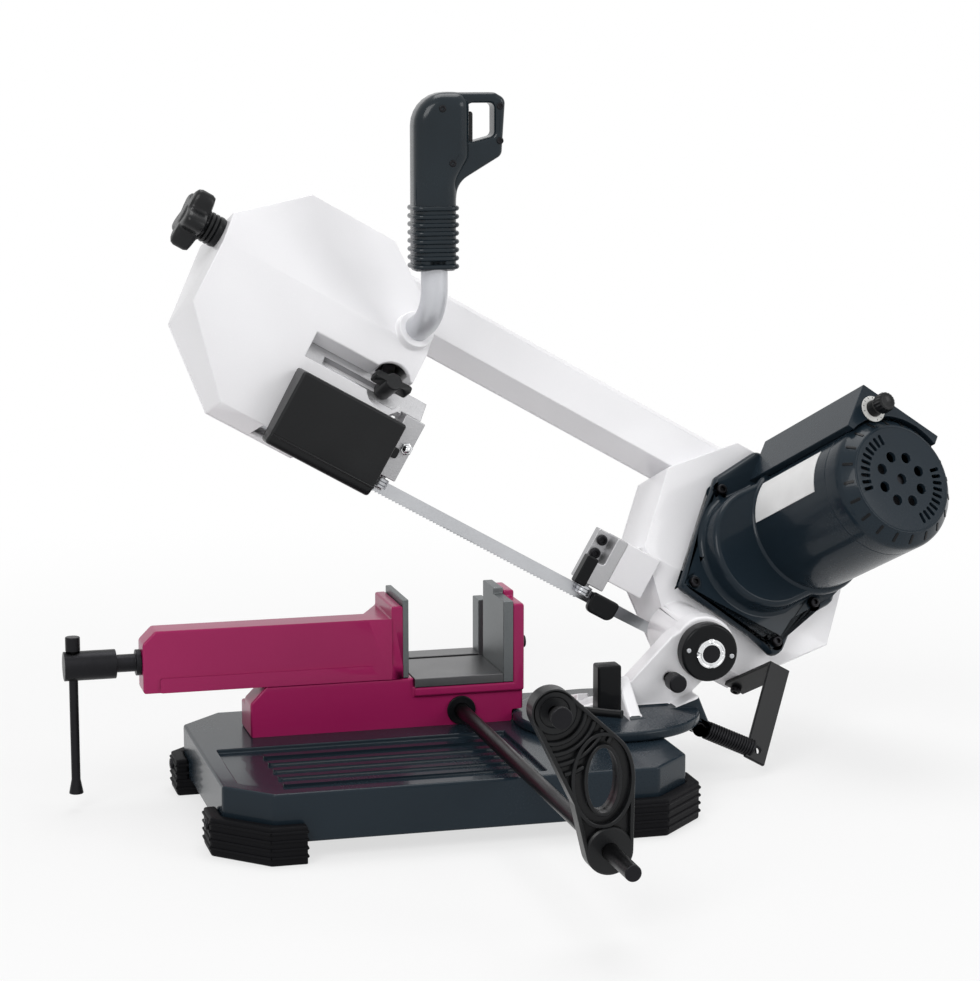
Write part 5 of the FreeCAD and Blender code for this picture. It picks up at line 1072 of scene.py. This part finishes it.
points, edges = [], []
for reach in RIB_REACHES:
    for side in RIB_SIDES:
        last = None
        for angle in (math.radians(degrees) for degrees in RIB_ANGLES):
            spot = Vector((PAD[0] + reach * math.cos(angle), PAD[1] + reach * math.sin(angle)))
            if not inside(spot, field) or inside(spot, wall):
                last = None
                continue
            points.append(stop_place @ Vector((spot.x, spot.y, side)))
            if last is not None:
                edges.append((last, len(points) - 1))
            last = len(points) - 1
settle(drawn("stop_arm_ribs", points, edges, radius=2.4, sides=10, finish=MOULDED), MOULDED, "stop")

# %% [markdown]
# ## The motor's cap
# The fan draws its air through the cap. The face is a flat form with a round of holes about a middle one and two
# fans of slots, and the shoulder is a turned ring. All of these openings are real, so they stay dark from any side.

# %% Face with holes and slots, and the shoulder
VENT_R, VENT_ROUNDS = 5.4, ((8, 24), (1, 0))
FAN_SLOT = [(38, -1.7, 1.5), (49, -1.7, 1.5), (49, 1.7, 1.5), (38, 1.7, 1.5)]
FANS, FAN_SLOTS, FAN_STEP = (92, 272), 10, 9
FACE_R, FACE_N = 56, 238.6
SHOULDER = [(64, 206), (67.4, 206), (68, 206.8), (68, 222), (67.2, 226), (65, 230), (56.6, 239.6), (55.2, 241),
            (53.8, 241.4), (53.2, 240.6), (53.2, 234), (64, 222)]
vents = []
for count, reach in VENT_ROUNDS:
    for angle in (2 * math.pi * i / count for i in range(count)):
        vents.append(oval(reach * math.cos(angle), reach * math.sin(angle), VENT_R, VENT_R, steps=28))
for degrees in (start + FAN_STEP * i for start in FANS for i in range(FAN_SLOTS)):
    bar = corners(FAN_SLOT)
    for spot in bar:
        spot.rotate(Matrix.Rotation(math.radians(degrees), 2))
    vents.append(bar)
face = flat_form("face", [oval(0, 0, FACE_R, FACE_R, steps=120)] + vents, half=2.5, soft=0.7)
bmesh.ops.transform(face, matrix=ON_MOTOR @ shift(0, 0, FACE_N), verts=face.verts)
cap = together([face, ring_of(SHOULDER, ON_MOTOR, steps=120)])
finished("motor_cap_vented", cap, ANTHRACITE, "bow", ("motor_cap",))
print(len(vents), "openings")

# %% [markdown]
# ### Painted slot shade round the shoulder
# More narrow slots run round the cap's sloping shoulder. Cut into a turned ring they would need many small faces, so
# they are painted shade: dark patches set out round the axis and leaning with the slope, as the slots' floors get no
# light.

# %% Painted slot shade on the slope
SLOT_SHADE = [(-5.5, -1.5, 1.4), (5.5, -1.5, 1.4), (5.5, 1.5, 1.4), (-5.5, 1.5, 1.4)]
SLOT_SHADES, SLOT_SHADE_PLACE, SLOPE = 20, Vector((60.5, 0, 234.6)), Vector((8.4, 0, -9.6)).normalized()
# Painted shade: a small dark patch, in black, where a slot's floor would lie in shadow.
inlay = linked("inlay", mesh_of("inlay", flat_form("inlay", [corners(SLOT_SHADE)], half=1.0, soft=0.3)))
rows = []
for i in range(SLOT_SHADES):
    around = turn(360 / SLOT_SHADES * i, "Z")
    rows.append((around @ SLOT_SHADE_PLACE, around @ Vector((-SLOPE.z, 0, SLOPE.x)), around @ SLOPE))
# The patches are set out round the axis as painted shade of the slots, not as cut slots.
set_out("motor_cap_slots", inlay, rows_in(ON_MOTOR, rows), (1, 1, 1), BLACK, "bow")

# %% [markdown]
# ## The blade guides
# The fixed guide is an angle bracket: two screws hold it in the corner, a small black holder stands at its end, and
# two pins carry its rollers. A black shield covers the band behind it. All are flat forms with soft edges, drawn in
# the bow's frame and stood upright.

# %% Angle bracket, holder and shield
ANGLE = [(-119, 0, 1.5), (-92, 0, 1.5), (-92, 56, 1.5), (-104, 56, 1.5), (-104, 24, 3), (-119, 24, 1.5)]
BACK = [(-119, 22, 1.5), (-102, 22, 1.5), (-102, 55.5, 1.5), (-119, 55.5, 1.5)]
HOLDER = [(-124, -4, 2), (-111, -4, 2), (-111, 27, 2), (-124, 27, 2)]
SHIELD = [(-101, -24, 6), (-70, -24, 9), (-70, -3, 4), (-101, -3, 4)]
PIN = [(0.1, -13), (2.9, -13), (2.9, 1), (0.1, 1)]
ROLLER_X, ROLLER_ASIDE = {"left": -350, "right": -108}, 8.75
ROLLER_Y = {"front": BAND_Y - ROLLER_ASIDE, "back": BAND_Y + ROLLER_ASIDE}


def upright_form(outline, y, half, soft):
    bm = flat_form("form", [corners(outline)], half, soft)
    bmesh.ops.transform(bm, matrix=IN_BOW @ shift(0, y, 0) @ turn(90, "X"), verts=bm.verts)
    return bm


pins = [ring_of(PIN, IN_BOW @ shift(ROLLER_X["right"], y, 0), steps=24) for y in ROLLER_Y.values()]
angle_parts = [upright_form(ANGLE, y=BAND_Y, half=17, soft=1.0), upright_form(BACK, y=141, half=6, soft=0.8)]
finished("fixed_guide_angle", together(angle_parts + pins), CASTING, "bow", ("fixed_guide",))
holder = together([upright_form(HOLDER, y=119, half=6.5, soft=1.4)])
finished("fixed_guide_holder", holder, BLACK, "bow")
shield = together([upright_form(SHIELD, y=111, half=4.5, soft=2.2)])
finished("blade_shield_rounded", shield, BLACK, "bow", ("blade_shield",))

# %% [markdown]
# ### Grooved rollers
# Two rollers at each guide run on both sides of the band and keep it from twisting. They are turned steel with two
# fine grooves, and each rides on a body of its own, since it spins with the band.

# %% Four rollers
GROOVES = [(3.3, 0), (7.4, 0), (8, 0.6), (8, 2.6), (7.1, 3.1), (8, 3.6), (8, 6.2), (7.1, 6.7), (8, 7.2), (8, 9.4),
           (7.4, 10), (3.3, 10)]
ROLLER_Z = -12
for side, x in ROLLER_X.items():
    for label, y in ROLLER_Y.items():
        node = side + "_roller_" + label
        roller = ring_of(GROOVES, IN_BOW @ shift(x, y, ROLLER_Z))
        finished(node + "_grooved", roller, GROUND, nodes[node]["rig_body"], (node,))

# %% [markdown]
# ### Cap nut and ridge of the sliding guide
# A bright cap nut sits on the sliding guide's arm: a hexagon below and a dome above, from one turned profile. The
# guard beside it has a moulded ridge along its lower edge, which the wire recipe lays along three points.

# %% A cap nut, and a ridge on the guard
CAP_NUT = [(0, -1, 0), (5.6, -1, 1), (5.6, 2.6, 1), (5.2, 3.2, 0.4), (4.6, 3.4, 0), (4.2, 5.4, 0), (2.6, 7, 0),
           (0, 7.6, 0)]
NUT_R, NUT_PLACE = 5.6, (-345, 113, 34)
nut = turned(CAP_NUT, IN_BOW @ shift(*NUT_PLACE) @ turn(90, "X"), lambda a: NUT_R * hexagon(a), steps=48)
finished("guide_arm_nut", nut, CHROME, "guide")
RIDGE = [(-477.5, 81.7, -13.6), (-368, 81.7, -13.6), (-363.5, 83.2, -13.6)]
points = [IN_BOW @ Vector(p) for p in RIDGE]
ridge = drawn("blade_guard_ridge", points, [(0, 1), (1, 2)], radius=1.2, sides=10, finish=MOULDED)
settle(ridge, MOULDED, "guide")

# %% [markdown]
# ## Light
# The saw stands in soft light from both sides and above. Large lamps make the long soft highlights of a studio
# picture, and their power is low enough that the white enamel keeps its shading.

# %% Lamps
LAMPS_MEET = Vector((0.05, 0, 0.3))
for name, at, power, size in (("key", (-1.7, -2.3, 2.5), 54, 1.8), ("fill", (2.4, -1.9, 1.5), 22, 1.4),
                              ("top", (0.3, 0.7, 2.9), 32, 1.6)):
    lamp = bpy.data.lights.new(name, "AREA")
    lamp.energy = power
    lamp.size = size
    linked(name, lamp).matrix_world = looking(at, LAMPS_MEET - Vector(at))
    print(name, power, "W")

# %% [markdown]
# ## World
# The white around the saw is not more light on it. Rays from the camera see a white world, and mirrors see the same,
# while the light that falls on the saw stays at a plain level. A picture or a gradient round the saw could do this
# too, but two plain levels are easier to set.

# %% World
WORLD_LIGHT, WORLD_SHOWN = 0.42, 0.58
WHOLE_WHITE = (1, 1, 1, 1)


def looked_at(graph):
    """1 for rays from the camera, a mirror or glass, and 0 for rays that carry light."""
    rays = [graph.node("ShaderNodeLightPath", out=label)
            for label in ("Is Camera Ray", "Is Glossy Ray", "Is Transmission Ray")]
    return rays[0] + rays[1] + rays[2]


world = bpy.data.worlds.new("studio")
world.use_nodes = True
bpy.context.scene.world = world
sky = world.node_tree.nodes["Background"]
sky.inputs["Color"].default_value = WHOLE_WHITE
strength = looked_at(Graph(world.node_tree)) * WORLD_SHOWN + WORLD_LIGHT
world.node_tree.links.new(strength.socket, sky.inputs["Strength"])
bpy.context.scene.view_settings.view_transform = "Standard"
print("world shown at", WORLD_LIGHT + WORLD_SHOWN)

# %% [markdown]
# ## Floor
# The saw stands on a pale sheet without an edge. A bent sheet would do it, as in a studio. A wide flat disc that
# fades to the world's white with distance needs no bend, and near the saw it keeps the soft shadow.

# %% Floor
FLOOR_DARK, FLOOR_LIGHT, FLOOR_R = (0.80, 0.80, 0.80, 1), (0.84, 0.84, 0.84, 1), 9
FADE = {"From Min": 0.35, "From Max": 1.6, "To Min": 0.68, "To Max": 1.0}
paving = Finish("pale_floor", Roughness=0.8)
away = paving.node("ShaderNodeVectorMath", {"operation": "LENGTH"}, {0: paving.place}, out="Value")
fade = paving.node("ShaderNodeMapRange", {"interpolation_type": "SMOOTHSTEP"}, {"Value": away, **FADE})
paving.feed(Base_Color=paving.mix(paving.noise(3, 3), FLOOR_DARK, FLOOR_LIGHT))
glow = paving.node("ShaderNodeEmission", {}, {"Color": WHOLE_WHITE, "Strength": 1.0})
plain = Wire(paving, paving.shader.outputs["BSDF"])
mixed = paving.node("ShaderNodeMixShader", {}, {0: looked_at(paving) * fade, 1: plain, 2: glow})
paving.tree.links.new(mixed.socket, paving.tree.nodes["Material Output"].inputs["Surface"])
disc = bmesh.new()
bmesh.ops.create_circle(disc, cap_ends=True, radius=FLOOR_R, segments=96)
floor = linked("floor", mesh_of("floor", disc))
floor.data.materials.append(paving.material)
print("floor of", len(floor.data.polygons), "face")

# %% [markdown]
# ## Closing
# The unit head, the tooth and the patch of painted slot shade were only patterns, so they go.

# %% Leave the patterns out and finish
for made in (head, tooth, inlay):
    bpy.data.objects.remove(made)
